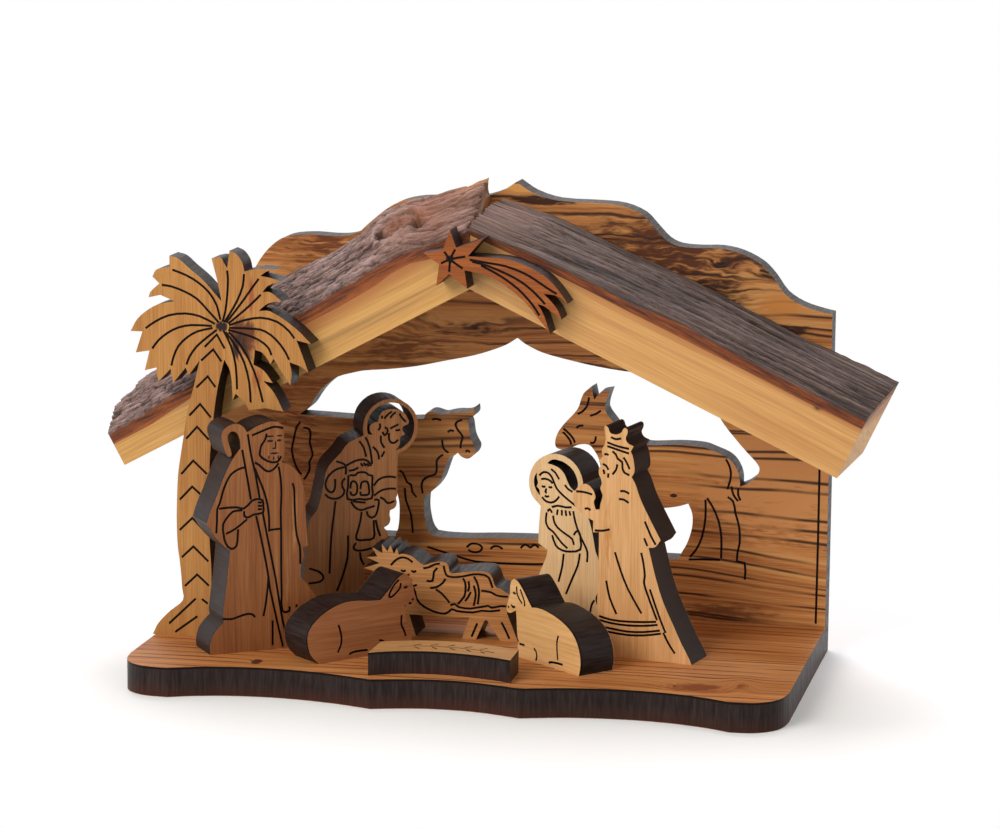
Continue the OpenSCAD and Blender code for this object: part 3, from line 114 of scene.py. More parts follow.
# Settings that come up often. BLEND mixes colours, and NUMBERS mixes plain values
TIMES, PLUS, TIMES_PLUS, LESS, MORE, LARGER = [{"operation": way} for way in (
    "MULTIPLY", "ADD", "MULTIPLY_ADD", "LESS_THAN", "GREATER_THAN", "MAXIMUM")]
BLEND, NUMBERS = {"data_type": "RGBA"}, {"data_type": "FLOAT"}
SOFT = {"interpolation_type": "SMOOTHSTEP"}
IN_1D, IN_4D = {"noise_dimensions": "1D"}, {"noise_dimensions": "4D"}

def new_material(name):
    """A new material without any nodes, and its tree."""
    made = bpy.data.materials.new(name)
    made.use_nodes = True
    made.node_tree.nodes.clear()
    return made, made.node_tree

# %% [markdown]
# ## Light and floor
#
# The stable stands on a white table in soft light. The main lamp stands in front and to the left. A
# second one hangs high behind the stable: it throws the shadow forward and lays a grey sheen on the
# cut edges that look up. A weak one fills in from the right, where the cut edges are nearly
# black. The world is white to the camera and in reflections, and a mild grey light to the object.

# %% World
world = bpy.data.worlds.new("studio")
bpy.context.scene.world = world
world.use_nodes = True
tree = world.node_tree
tree.nodes.clear()
AMBIENT = 0.42    # the world's strength as a light
path = add(tree, "LightPath")
seen = add(tree, "Math", LARGER, path.outputs["Is Camera Ray"], path.outputs["Is Transmission Ray"])
seen = add(tree, "Math", LARGER, seen, path.outputs["Is Glossy Ray"])
strength = add(tree, "MapRange", {}, seen, 0.0, 1.0, AMBIENT, 1.0)
sky = add(tree, "Background", {}, "FFFFFF", strength)
add(tree, "OutputWorld", {}, sky)

# %% Lamps
MIDDLE = Vector((0, 0, 0.05))

def softbox(name, spot, size, watts, colour):
    """A square lamp that points at the middle of the stable. Its spot and size are in metres."""
    lamp = bpy.data.lights.new(name, "AREA")
    lamp.shape, lamp.size, lamp.energy = "SQUARE", size, watts
    lamp.color = paint(colour)[:3]
    holder = bpy.data.objects.new(name, lamp)
    bpy.context.scene.collection.objects.link(holder)
    holder.location = spot
    aim = MIDDLE - Vector(spot)
    holder.rotation_euler = aim.to_track_quat("-Z", "Y").to_euler()

softbox("key_softbox", (-0.45, -0.8, 0.6), 0.6, 7.6, "FFF8F0")
softbox("back_softbox", (-0.15, 0.65, 1.0), 0.7, 11.0, "F6F2FA")
softbox("fill_softbox", (0.85, -0.5, 0.45), 0.6, 0.5, "FFFFFF")
print("three soft lamps")

# %% [markdown]
# The table is a plain sheet. It takes the object's shadow close by, and is lost in the white
# background further off, as white paper under a bright lamp is.

# %% Floor
floor_mesh = bpy.data.meshes.new("floor")
reach = 6.0
corners = [(-reach, -reach, 0), (reach, -reach, 0), (reach, reach, 0), (-reach, reach, 0)]
floor_mesh.from_pydata(corners, [], [(0, 1, 2, 3)])
floor = bpy.data.objects.new("floor", floor_mesh)
bpy.context.scene.collection.objects.link(floor)
floor.location.z = -0.1 * MM
FADES, GONE = 0.1, 0.19    # metres from the middle where the table starts to fade, and where it is gone
table_top, tree = new_material("white_table")
path = add(tree, "LightPath")
place = add(tree, "TexCoord").outputs["Object"]
place = add(tree, "VectorMath", TIMES, place, (1, 1.5, 0))    # it fades sooner in depth than in width
away = add(tree, "VectorMath", {"operation": "LENGTH"}, place)
away = add(tree, "MapRange", SOFT, away, FADES, GONE)
paper = add(tree, "BsdfDiffuse", {}, "EDEEED")
glow = add(tree, "Emission", {}, "FFFFFF", 0.16)
white = add(tree, "Emission", {}, "FFFFFF", 1.0)
near_by = add(tree, "AddShader", {}, paper, glow)
shown = add(tree, "MixShader", {}, away, near_by, white)
seen = add(tree, "Math", LARGER, path.outputs["Is Camera Ray"], path.outputs["Is Glossy Ray"])
add(tree, "OutputMaterial", {}, add(tree, "MixShader", {}, seen, paper, shown))
floor_mesh.materials.append(table_top)

# %% [markdown]
# ## Laser-cut olive wood
#
# Olive wood is honey brown with dark growth lines, and it is sanded smooth and left bare, so it is
# matt with a faint shine along the fibres. A board's lines are growth sheets cut by the saw, so the
# colour is taken from a distance across the grain that slow noise has pushed about, and that bulges
# round a knot. Where the laser went, the wood is charred: the cut edges and the drawn lines all
# lie deeper than the board's two faces, so the depth in the piece's own frame tells char from
# wood. Char is brown-black, with faint streaks along the beam, and just under a face it is darkest:
# at the cut edges that is the char's own dark outline, and in the narrow drawn lines it is painted shade.

# %% A piece's own frame, and a soft spot in it
def millimetres(tree, spot, turn):
    """The point being shaded, in millimetres from a spot in mm, with axes turned by degrees."""
    return add(tree, "Mapping", {"vector_type": "TEXTURE"}, add(tree, "TexCoord").outputs["Object"],
               [x * MM for x in spot], [math.radians(x) for x in turn], [MM] * 3)

def near(tree, local, at, size):
    """1 at a place, falling off smoothly to 0 over a size, both in mm."""
    gap = add(tree, "VectorMath", {"operation": "SUBTRACT"}, local, at)
    gap = add(tree, "VectorMath", {"operation": "DIVIDE"}, gap, size)
    square = add(tree, "VectorMath", {"operation": "DOT_PRODUCT"}, gap, gap)
    return add(tree, "Math", {"operation": "EXPONENT"}, add(tree, "Math", TIMES, square, -1.0))

# %% Laser-cut wood
FIBRE = 0.3    # mm, a bundle of fibres; a single fibre is too fine to show, so bundles are drawn
STREAK = 0.6   # mm, the laser's steps along a cut
FACE = 0.05    # mm under a face, where the char begins
# Just under a face the char is near-black: its own dark outline at the cut edges, and painted shade in the
# drawn lines.
DARK_RIM_AND_GROOVE_SHADE = (0.45, 0.7)          # mm under a face, where the darkest char gives way to the streaks
SANDED = (0.25, 0.00012)   # how much of the fibres can be felt: a share, and a height in metres

def olive_wood(name, spot, turn, thick, tones, along="z", ring=3.0, wander=2.0, bands=0.5,
               lines=0.0, line=None, faint=(-200, -100), spots=(), scorch=0.0, seed=0.0):
    """tones run from dark to light. along is the axis of the fibres. ring is the width of the growth bands,
    wander how far they stray, and bands their share of the tone; the fibres have the rest. lines is
    the distance between the strong dark lines, line their colour, and faint the two places along the
    fibres between which they grow to full strength. All lengths are in mm. A spot is its place (right,
    up), its sizes, how far it pushes the grain, how strongly it stains, and its colour; a spot that
    doesn't stain pushes the grain evenly. scorch is how red the char turns toward the far face."""
    made, tree = new_material(name)
    local = millimetres(tree, spot, turn)
    u, depth, v = add(tree, "SeparateXYZ", {}, local).outputs
    across, run = (v, u) if along == "x" else (u, v)
    grain = add(tree, "CombineXYZ", {}, across, run, depth)
    slow = add(tree, "VectorMath", TIMES, grain, (0.05, 0.016, 0.02))
    bend = add(tree, "TexNoise", IN_4D, slow, seed, 1.0, 2.0)
    sheet = add(tree, "Math", TIMES_PLUS, bend, wander * 2, across)
    swirl = add(tree, "TexNoise", {}, add(tree, "VectorMath", TIMES, grain, (0.3, 0.11, 0.2)), 1.0, 2.0)
    stains = []
    for at, size, push, stain, code in spots:
        mask = near(tree, local, (at[0], 0, at[1]), (size[0], 1000, size[1]))
        shove = add(tree, "Math", TIMES, add(tree, "Math", TIMES, mask, swirl if stain else 0.5), push * 2)
        sheet = add(tree, "Math", PLUS, sheet, shove)
        if stain:
            stains.append((add(tree, "Math", TIMES, mask, stain), code))
    rings = add(tree, "TexNoise", IN_1D, sheet, 1 / ring, 4.0, 0.65)
    thin = add(tree, "VectorMath", TIMES, grain, (1 / FIBRE, 0.07, 0.3))
    fibres = add(tree, "TexNoise", {}, thin, 1.0, 3.0, 0.6)
    tone = add(tree, "Math", TIMES, rings, bands)
    tone = add(tree, "Math", TIMES_PLUS, fibres, 1 - bands, tone)
    # Patches a few centimetres wide are a little darker or lighter
    patch = add(tree, "TexNoise", IN_4D, slow, seed + 7.0, 1.6, 1.0)
    tone = add(tree, "Math", TIMES_PLUS, patch, 0.4, add(tree, "Math", PLUS, tone, -0.2))
    dark, body, light = tones
    face = add(tree, "ValToRGB", {"stops": [(0.34, dark), (0.5, body), (0.66, light)]}, tone)
    # A stain is solid in its middle and breaks up into dashes along the rings round it
    flow = add(tree, "CombineXYZ", {}, sheet, add(tree, "Math", TIMES, run, 0.16), seed)
    streak = add(tree, "Math", TIMES, add(tree, "TexNoise", {}, flow, 2.4 / ring, 3.0, 0.6), 2.0)
    for mask, code in stains:
        mark = add(tree, "MapRange", SOFT, add(tree, "Math", TIMES, mask, streak), 0.32, 0.6)
        face = add(tree, "Mix", BLEND, mark, face, code)
    if lines:
        gap = add(tree, "TexVoronoi", {"voronoi_dimensions": "1D"}, sheet, 1 / lines).outputs["Distance"]
        come = add(tree, "TexNoise", IN_4D, slow, seed + 3.0, 2.2, 2.0)
        mark = add(tree, "MapRange", SOFT, gap, 0.1 / lines, 0.5 / lines, 1.0, 0.0)
        mark = add(tree, "Math", TIMES, mark, add(tree, "MapRange", SOFT, come, 0.36, 0.54, 0.15, 0.95))
        mark = add(tree, "Math", TIMES, mark, add(tree, "MapRange", SOFT, run, *faint, 0.4, 1.0))
        face = add(tree, "Mix", BLEND, mark, face, line)
    behind, before = add(tree, "Math", MORE, depth, FACE), add(tree, "Math", LESS, depth, thick - FACE)
    inside = add(tree, "Math", TIMES, behind, before)
    beam = add(tree, "VectorMath", TIMES, local, (1 / STREAK, 0.15, 1 / STREAK))
    streaks = add(tree, "TexNoise", {}, beam, 1.0, 3.0, 0.6)
    char = add(tree, "ValToRGB", {"stops": [(0.3, "1C1312"), (0.5, "29201E"), (0.75, "382E2C")]}, streaks)
    if scorch:
        low = add(tree, "MapRange", SOFT, depth, thick * 0.4, thick, 0.0, scorch)
        char = add(tree, "Mix", BLEND, add(tree, "Math", TIMES, low, patch), char, "542A1C")
    # Near-black just under a face: the char's own dark outline at the cut edges, and painted shade in the
    # drawn lines
    char = add(tree, "Mix", BLEND, add(tree, "MapRange", SOFT, depth, *DARK_RIM_AND_GROOVE_SHADE), "0E0604", char)
    height = add(tree, "Mix", NUMBERS, inside, fibres, streaks)
    sheen = add(tree, "MapRange", {}, streaks, 0.36, 0.64, 0.35, 0.52)
    skin = add(tree, "BsdfPrincipled", {}, add(tree, "Mix", BLEND, inside, face, char),
               Roughness=add(tree, "Mix", NUMBERS, inside, 0.52, sheen),
               IOR=add(tree, "MapRange", {}, inside, 0.0, 1.0, 1.32, 1.21),
               Normal=add(tree, "Bump", {}, *SANDED, Height=height))
    add(tree, "OutputMaterial", {}, skin)
    return made

def dress(piece, material):
    """Gives a piece its one material."""
    piece.data.materials.clear()
    piece.data.materials.append(material)

# %% [markdown]
# ### Where each piece stands
#
# The pieces' frames repeat the places in the construction model: shares of the stable's width and
# depth, and a turn about the vertical. The figures stand on the base, which is 7 mm thick.

# %% Places of the pieces
WIDTH, DEPTH, BOARD = 155, 76, 7

def stand(x_share, y_share):
    """A place on the base, from its shares of the width and the depth, in mm."""
    return (x_share * WIDTH, y_share * DEPTH - DEPTH / 2, BOARD)

# Each piece: its place, its turn in degrees and the thickness of its board
PLACES = {
    "shepherd_figure": ((-0.3806 * WIDTH, -23.9, BOARD), (0, 0, 36), 10),
    "lantern_figure": (stand(-0.2916, 0.6579), (0, 0, 28), 10),
    "infant_manger": (stand(-0.0323, 0.5816), (0, 0, 0), 10),
    "mother_figure": (stand(0.0903, 0.6605), (0, 0, -15), 10),
    "king_figure": (stand(0.2071, 0.4711), (0, 0, -12), 10),
    "sheep_right": (stand(0.0697, 0.3921), (0, 0, -40), 10),
    "sheep_left": (stand(-0.209, 0.1553), (0, 0, 48), 10),
    "palm_tree": ((-0.4396 * WIDTH, -7, BOARD), (0, 0, 0), 7),
    "comet_star": ((-0.0394 * WIDTH, -7, 100.2), (0, 0, 0), 7),
    "back_wall": ((0, 38, 0), (0, 0, 0), 7),
    # The base and the plate lie: their face is the top, and up in their frame is toward the wall
    "base_plate": ((0, 0, BOARD), (-90, 0, 0), 7),
    "name_plate": ((0, 0, BOARD + 5.5), (-90, 0, 0), 5.5),
}

# %% [markdown]
# ### Plain woods
#
# Each piece was cut from another board, so each has a tone of its own. Those of the figures are
# quiet: fine fibres that stand upright, and faint bands. The lying sheep and the manger were cut
# with the fibres lying.

# %% Woods of the figures
# A short touch of the laser, too fine to be cut in: the shepherd's eyes, nose and mouth
BURN = "150905"

WOODS = {
    "shepherd_figure": dict(
        tones=("74441F", "8B552F", "9F6A3E"), ring=2.4, bands=0.45,
        spots=[((20.8, 30), (1.2, 12), 0, 0.55, "AA7646"), ((19, 16), (1.4, 12), 0, 0.45, "A56F42"),
               ((14.7, 50), (0.6, 0.25), 0, 2, BURN), ((16.9, 50), (0.5, 0.25), 0, 2, BURN),
               ((14.6, 51.1), (0.9, 0.18), 0, 2, BURN), ((17, 51.1), (0.6, 0.18), 0, 2, BURN),
               ((16.1, 49), (0.18, 0.8), 0, 2, BURN), ((15.8, 48.2), (0.45, 0.17), 0, 2, BURN),
               ((15.7, 47), (0.9, 0.2), 0, 2, BURN), ((14.4, 46.1), (0.16, 0.4), 0, 2, BURN),
               ((15.6, 45.8), (0.16, 0.4), 0, 2, BURN), ((16.7, 46), (0.16, 0.4), 0, 2, BURN)]),
    "lantern_figure": dict(tones=("83522E", "98643C", "AC784A"), bands=0.4),
    "infant_manger": dict(tones=("9E6834", "B87E4A", "CA965E"), along="x", ring=2.0, bands=0.45),
    "mother_figure": dict(tones=("D0A572", "DEB886", "E9C798"), bands=0.35),
    "king_figure": dict(
        tones=("BA8650", "CE9C66", "DCAE7A"), bands=0.4,
        spots=[((-1, 28), (2.6, 22), 0, 0.45, "BE8044")]),
    "sheep_right": dict(tones=("C8985C", "DCAE74", "E8BE8A"), along="x", ring=2.4, bands=0.4),
    "sheep_left": dict(tones=("84502E", "9C623C", "AE784C"), along="x", ring=2.4, bands=0.45),
    "name_plate": dict(tones=("AE7C48", "C4925C", "D2A26C"), along="x", ring=2.6, bands=0.4, scorch=0.5),
}

# %% [markdown]
# ### Lively woods
#
# The wall and the base show strong lines that run along their length, and knots that the lines flow
# round. The palm has a dark red-brown knot beside the middle of its crown, and the comet is the
# reddest piece of all.

# %% Woods of the palm, the comet, the wall and the base
WOODS.update({
    "palm_tree": dict(
        tones=("96612D", "AA753B", "B88549"), ring=2.6, bands=0.4,
        spots=[((7, 75.2), (1.5, 1.5), 0, 1.0, "1C0E07"), ((14.2, 83), (0.9, 6), 0, 0.7, "96502A"),
               ((12.4, 72.5), (4.4, 6), 2, 0.8, "5E3016"), ((11.4, 71), (3.2, 4.4), 1, 0.66, "301A0E"),
               ((16, 63), (2, 6), 0, 0.6, "96502A"), ((-2, 20), (3, 12), 0, 0.3, "AC6F30")]),
    "comet_star": dict(
        tones=("7C3E16", "944F1F", "A9642B"), along="x", ring=2.0, bands=0.5,
        spots=[((0, 0), (1.0, 1.0), 0, 1.0, "1C0E07")]),
    "back_wall": dict(
        tones=("925629", "BC7E46", "D09A5C"), line="371B0D", along="x", ring=2.0, wander=3.5,
        bands=0.6, lines=3.2, faint=(-50, 10),
        spots=[((66, 46), (30, 26), 0, 0.75, "CE9056"), ((36, 98), (34, 13), 1.5, 0.59, "552C15"),
               ((46, 88), (20, 7), 2, 0.54, "34190B"), ((66, 79.5), (10, 2.5), -1, 0.65, "34190B"),
               ((62, 93), (8, 3), 1.5, 0.5, "3A1D0E"), ((50, 95), (2.4, 1.0), 1, 0.75, "1E0D06"),
               ((6, 109.2), (10, 1.4), 0.3, 0.9, "3A1D0E"), ((65, 85.5), (7, 3.2), -1, 0.8, "C4803F"),
               ((39.7, 38), (1.0, 0.6), 1.2, 1.0, "3A2010"), ((53, 9.5), (18, 4), 0.5, 0.56, "7E4C2A"),
               ((1, 112.4), (5, 1.4), 0, 1.0, "D69A52"), ((-12, 77), (16, 3), 3, 0.5, "3E1D0E"),
               ((18, 69), (14, 4), -2, 0.44, "5E2F16"), ((-50, 98), (26, 12), 1.5, 0.5, "6E3A1C"),
               ((-56, 50), (22, 36), 1, 0.45, "84451F"), ((86, 20), (32, 12), 5, 0, None),
               ((-30, 72), (24, 9), 1, 0.5, "804A24")]),
    "base_plate": dict(
        tones=("A2602E", "BE7C44", "D09560"), line="6B3419", along="x", ring=3.0, wander=3.0,
        bands=0.55, lines=3.6, scorch=0.75,
        spots=[((-47, -27.5), (1.5, 2.8), 2.0, 0.9, "4A2614"), ((56, -27), (9, 6), 5, 0.65, "8A4824"),
               ((66, -23), (3, 6), -6, 0.45, "87431F"), ((40, 24), (34, 3), 1, 0.5, "85421F")]),
})
for index, (piece, look_of) in enumerate(WOODS.items()):
    spot, turn, thick = PLACES[piece]
    wood = olive_wood("olive_wood_of_" + piece, spot, turn, thick, seed=1.7 * index, **look_of)
    dress(nodes[piece], wood)
print("cut and charred woods on", len(WOODS), "pieces")

# %% [markdown]
# ## Roof slabs
#
# Each slab is half of a split branch. Its sapwood is pale and sawn, with fine lines that follow
# the slab, and no laser has touched it, so it isn't charred. Next to the bark it turns orange.

# %% Sapwood
RIDGE_X, RIDGE_Z = -0.019 * WIDTH, 92.3
LEFT_SLOPE, RIGHT_SLOPE = 28.4, 25.1    # degrees

def sapwood(name, turn, tones, rim, rim_fall, spots, seed):
    """rim is the height over the underside at which the wood turns orange, and rim_fall how fast that
    height drops along the slab. A spot is (along, up), its sizes in mm, its strength and its colour."""
    made, tree = new_material(name)
    local = millimetres(tree, (RIDGE_X, 0, RIDGE_Z), (0, turn, 0))
    run, back, rise = add(tree, "SeparateXYZ", {}, local).outputs
    slow = add(tree, "VectorMath", TIMES, local, (0.02, 0.06, 0.12))
    bend = add(tree, "TexNoise", IN_4D, slow, seed, 1.0, 2.0)
    sheet = add(tree, "Math", TIMES_PLUS, bend, 5.0, rise)
    sheet = add(tree, "Math", TIMES_PLUS, back, 0.25, sheet)
    rings = add(tree, "TexNoise", IN_1D, sheet, 0.5, 3.0, 0.6)
    thin = add(tree, "VectorMath", TIMES, local, (0.05, 2.2, 2.6))
    fibres = add(tree, "TexNoise", {}, thin, 1.0, 2.0, 0.6)
    tone = add(tree, "Math", TIMES_PLUS, rings, 0.55, add(tree, "Math", TIMES, fibres, 0.45))
    dark, body, light = tones
    face = add(tree, "ValToRGB", {"stops": [(0.34, dark), (0.5, body), (0.66, light)]}, tone)
    edge = add(tree, "Math", TIMES_PLUS, run, rim_fall, rise)
    edge = add(tree, "Math", TIMES_PLUS, bend, 3.0, edge)
    orange = add(tree, "MapRange", SOFT, edge, rim, rim + 3.5, 0.0, 0.85)
    face = add(tree, "Mix", BLEND, orange, face, "9E5E28")
    for at, size, much, code in spots:
        mask = near(tree, local, (at[0], 0, at[1]), (size[0], 20, size[1]))
        face = add(tree, "Mix", BLEND, add(tree, "Math", TIMES, mask, much), face, code)
    skin = add(tree, "BsdfPrincipled", {}, face, Roughness=0.55, IOR=1.5,
               Normal=add(tree, "Bump", {}, *SANDED, Height=fibres))
    add(tree, "OutputMaterial", {}, skin)
    return made

dress(nodes["roof_right_timber"], sapwood(
    "right_sapwood", RIGHT_SLOPE, ("B47F46", "C79353", "D7A663"), rim=11.5, rim_fall=0.0, seed=2.0,
    spots=[((84.6, 12.7), (0.8, 0.6), 1.0, "2A140A"), ((80, 4), (10, 2.2), 0.4, "B47636")]))
dress(nodes["roof_left_timber"], sapwood(
    "left_sapwood", -LEFT_SLOPE, ("A87838", "C4924C", "D4A562"), rim=9.8, rim_fall=-0.045, seed=9.0,
    spots=[((-28, 4.6), (18, 0.5), 0.6, "7C5A36"), ((-20, 3.2), (12, 0.4), 0.5, "7C5A36"),
           ((-70, 6.5), (14, 0.6), 0.4, "8E6234")]))

# %% [markdown]
# ## Bark
#
# Olive bark is grey-brown outside and red-brown where the saw opened it. On the right slab it has
# long parallel ridges. On the left one it is older: cracked into plates, and folded round the stub
# of a side branch. A texture alone would leave the slab's outline smooth, so each bark is a
# fine mesh on the slab's own sections, moved by noise. It takes the place of the plain bark solid
# and stays on its outline.

# %% Sections of the slabs, as the construction model has them
BARK_T, SLAB_D = 3.0, 38.0
SUNK, PROUD = 0.05, 0.02    # mm that the bark reaches into the wood, and out of it at the front
THINNEST = 0.4              # mm that the bark keeps under its deepest crack
# DEPTHS are shares of a slab's depth from the front face to the wall, and GAPS is how far the left slab
# has drawn back from the ridge at each of them, as a share of its gap
DEPTHS = [0, 0.065, 0.185, 0.315, 0.5, 0.685, 0.87, 1]
GAPS = [0, 0, 0, 0.05, 0.3, 0.6, 0.9, 1]
# stations are shares of a slab's length, from the ridge on. For each of them, bark has a share of BARK_T,
# and heights has a row with the height of the bark in mm at each of DEPTHS
SLABS = {
    "left": dict(
        slope=LEFT_SLOPE, length=96.3, side=-1, gap=4.0, askew=0.0, fray=2.2,
        stations=[0, 0.052, 0.104, 0.156, 0.208, 0.26, 0.322, 0.395, 0.52, 0.644, 0.768, 0.893, 1],
        bark=[1.05, 1.17, 1.17, 1.17, 1.3, 1.3, 1.23, 1.13, 1.13, 1.1, 1.07, 1.17, 0.97],
        heights=[
            [12.7, 13.3, 14.2, 16.2, 18.8, 20.2, 20.4, 20.2], [14, 14.8, 16.4, 18.2, 20.3, 21.8, 22.8, 22.9],
            [15.3, 16.2, 17.6, 19.2, 21.4, 23, 24.2, 24.2], [15.2, 16.2, 17.8, 19.6, 22, 23.2, 25, 25],
            [14.8, 15.9, 17.6, 19.4, 22.2, 25, 25.4, 24.6], [14.5, 15.5, 17, 18.6, 21, 22.8, 23.4, 23.2],
            [14, 15, 16.5, 18, 20.2, 21.8, 22.5, 22.5], [13.7, 14.7, 16.2, 17.8, 20, 21.6, 22.4, 22.5],
            [12.6, 13.7, 15.4, 17.2, 19.8, 21.6, 22.5, 22.6], [11.4, 12.6, 14.3, 16.2, 18.6, 20.2, 21, 21.1],
            [10.3, 11.5, 13.2, 15, 17.1, 18.5, 19.2, 19.4], [9.3, 10.4, 12.1, 13.9, 15.6, 16.6, 17.2, 17.6],
            [8.6, 9.7, 11.5, 13.2, 14.1, 14.7, 15.4, 16.2]]),
    "right": dict(
        slope=RIGHT_SLOPE, length=95.9, side=1, gap=0.0, askew=0.02, fray=0.0,
        stations=[0, 0.031, 0.125, 0.25, 0.375, 0.521, 0.688, 0.855, 1],
        bark=[0.65, 0.65, 0.65, 0.8, 0.9, 1.03, 0.95, 0.93, 0.93],
        heights=[
            [13.5, 13.9, 14.4, 14.8, 15.3, 15.4, 15.2, 14.9], [13.9, 14.4, 15.1, 15.7, 16.5, 16.9, 17, 16.9],
            [14.4, 15, 15.7, 16.3, 17, 17.4, 17.5, 17.3], [15, 15.6, 16.3, 16.9, 17.6, 18, 18.1, 17.9],
            [15.3, 15.9, 16.7, 17.3, 18, 18.5, 18.6, 18.4], [15.8, 16.4, 17.1, 17.7, 18.4, 18.8, 19, 18.8],
            [15.6, 16.2, 17, 17.6, 18.3, 18.8, 19, 18.8], [15.5, 16.1, 16.9, 17.5, 18.2, 18.7, 18.9, 18.7],
            [15.8, 16.3, 17, 17.6, 18.4, 18.9, 19.2, 19.1]]),
}

# %% [markdown]
# The shell is a box of steps along the slab, across it and through the bark, and only the points on
# the outside of that box are made. Two numbers are kept at each point for the colours: how far the
# relief moved it, which makes sunken places darker, partly as painted shade, and how deep it lies
# under the outside, for the cut faces.

# %% A closed shell over a box of steps
def shell(name, counts, place, flip):
    """A closed mesh over counts of points in three directions. place gives a point and its two numbers."""
    ni, nj, nk = counts
    index, points, marks = {}, [], []
    for i in range(ni):
        for j in range(nj):
            for k in range(nk) if i in (0, ni - 1) or j in (0, nj - 1) else (0, nk - 1):
                index[i, j, k] = len(points)
                point, mark = place(i, j, k)
                points.append(point)
                marks.append(mark)
    quads = []
    for i in range(ni - 1):
        for j in range(nj - 1):
            top = [(i, j, nk - 1), (i + 1, j, nk - 1), (i + 1, j + 1, nk - 1), (i, j + 1, nk - 1)]
            quads += [top, [(a, b, 0) for a, b, _ in reversed(top)]]
        for k in range(nk - 1):
            front = [(i, 0, k), (i + 1, 0, k), (i + 1, 0, k + 1), (i, 0, k + 1)]
            quads += [front, [(a, nj - 1, c) for a, _, c in reversed(front)]]
    for j in range(nj - 1):
        for k in range(nk - 1):
            end = [(ni - 1, j, k), (ni - 1, j + 1, k), (ni - 1, j + 1, k + 1), (ni - 1, j, k + 1)]
            quads += [end, [(0, b, c) for _, b, c in reversed(end)]]
    faces = [[index[key] for key in (reversed(quad) if flip else quad)] for quad in quads]
    mesh = bpy.data.meshes.new(name)
    mesh.from_pydata(points, [], faces)
    for number, title in enumerate(("rise", "under")):
        kept = mesh.attributes.new(title, "FLOAT", "POINT")
        kept.data.foreach_set("value", [mark[number] for mark in marks])
    mesh.shade_smooth()
    mesh.set_sharp_from_angle(angle=math.radians(55))
    return mesh

# %% The bark of one slab
def blur(grid, steps, axis):
    """Rounds the corners of a grid of heights along one axis, over an odd number of steps."""
    kernel = np.hanning(steps + 2)[1:-1]
    pad = [(0, 0), (0, 0)]
    pad[axis] = (steps // 2, steps // 2)
    wide = np.pad(grid, pad, mode="edge")
    kernel /= kernel.sum()
    return np.apply_along_axis(lambda line: np.convolve(line, kernel, mode="valid"), axis, wide)

def bark_skin(name, side, relief):
    """The bark of one slab. relief gives the rise in mm at a distance along it and one from its front."""
    slab = SLABS[side]
    count_s, count_y, count_t = ((260, 112, 8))
    s_share, y_share = np.linspace(0, 1, count_s), np.linspace(0, 1, count_y) ** 1.1
    rows = [np.interp(y_share, DEPTHS, row) for row in slab["heights"]]
    high = np.array([np.interp(s_share, slab["stations"], column) for column in zip(*rows)]).T
    thick = BARK_T * np.interp(s_share, slab["stations"], slab["bark"])[:, None]
    low = high - thick - SUNK
    moves = np.array([[relief(s * slab["length"], y * SLAB_D) for y in y_share] for s in s_share])
    # The saw has flattened the relief at the front
    moves = moves * np.minimum(1, 0.35 + y_share * SLAB_D / 2)[None, :]
    outer = np.maximum(blur(blur(high, 17, 0), 7, 1) + moves, low + THINNEST)
    gaps = np.interp(y_share, DEPTHS, GAPS) * slab["gap"]
    slope = math.radians(slab["slope"])
    first, last = slab["stations"][1], slab["stations"][-2]

    def place(i, j, k):
        through = k / (count_t - 1)
        n = low[i, j] + (outer[i, j] - low[i, j]) * through
        a = s_share[i]
        # The ridge end stands upright and may be frayed, and the far end may be cut askew
        s = a * slab["length"] + max(0, 1 - a / first) * (gaps[j] - n * math.tan(slope))
        splinter = noise.noise((y_share[j] * 22, n * 0.35, 6.0)) + 0.5
        s += max(0, 1 - a / first) * slab["fray"] * max(0, splinter) * through
        s += max(0, (a - last) / (1 - last)) * slab["askew"] * slab["length"] * y_share[j]
        x = RIDGE_X + slab["side"] * (s * math.cos(slope) + n * math.sin(slope))
        z = RIDGE_Z + n * math.cos(slope) - s * math.sin(slope)
        y = y_share[j] * SLAB_D - (PROUD if j == 0 else 0)
        return (x * MM, y * MM, z * MM), (moves[i, j], (outer[i, j] - low[i, j]) * (1 - through))

    mesh = shell(name, (count_s, count_y, count_t), place, flip=slab["side"] < 0)
    made = bpy.data.objects.new(name, mesh)
    bpy.context.scene.collection.objects.link(made)
    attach(made, "root")
    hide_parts("roof_" + side + "_bark")
    print(name, len(mesh.vertices), "points, moved from", round(moves.min(), 2), "to",
          round(moves.max(), 2), "mm")
    return made

# %% The right bark's relief
def right_relief(s, y):
    """Long ridges, 2 to 3 mm apart, with narrow fissures between them."""
    wander = noise.noise((s * 0.03, y * 0.05, 4.0)) * 2.0
    across = y + wander
    deep = abs(noise.noise((s * 0.022, across * 0.34, 1.0)))
    fissures = -0.6 * max(0.0, 1 - deep / 0.16)
    fine = -0.5 * max(0.0, 1 - abs(noise.noise((s * 0.03, across * 0.75, 7.0))) / 0.25)
    swell = noise.noise((s * 0.05, across * 0.3, 3.0)) * 0.45
    flakes = noise.noise((s * 0.45, y * 1.1, 3.0)) * 0.16
    return 0.25 + swell + fissures + fine + flakes

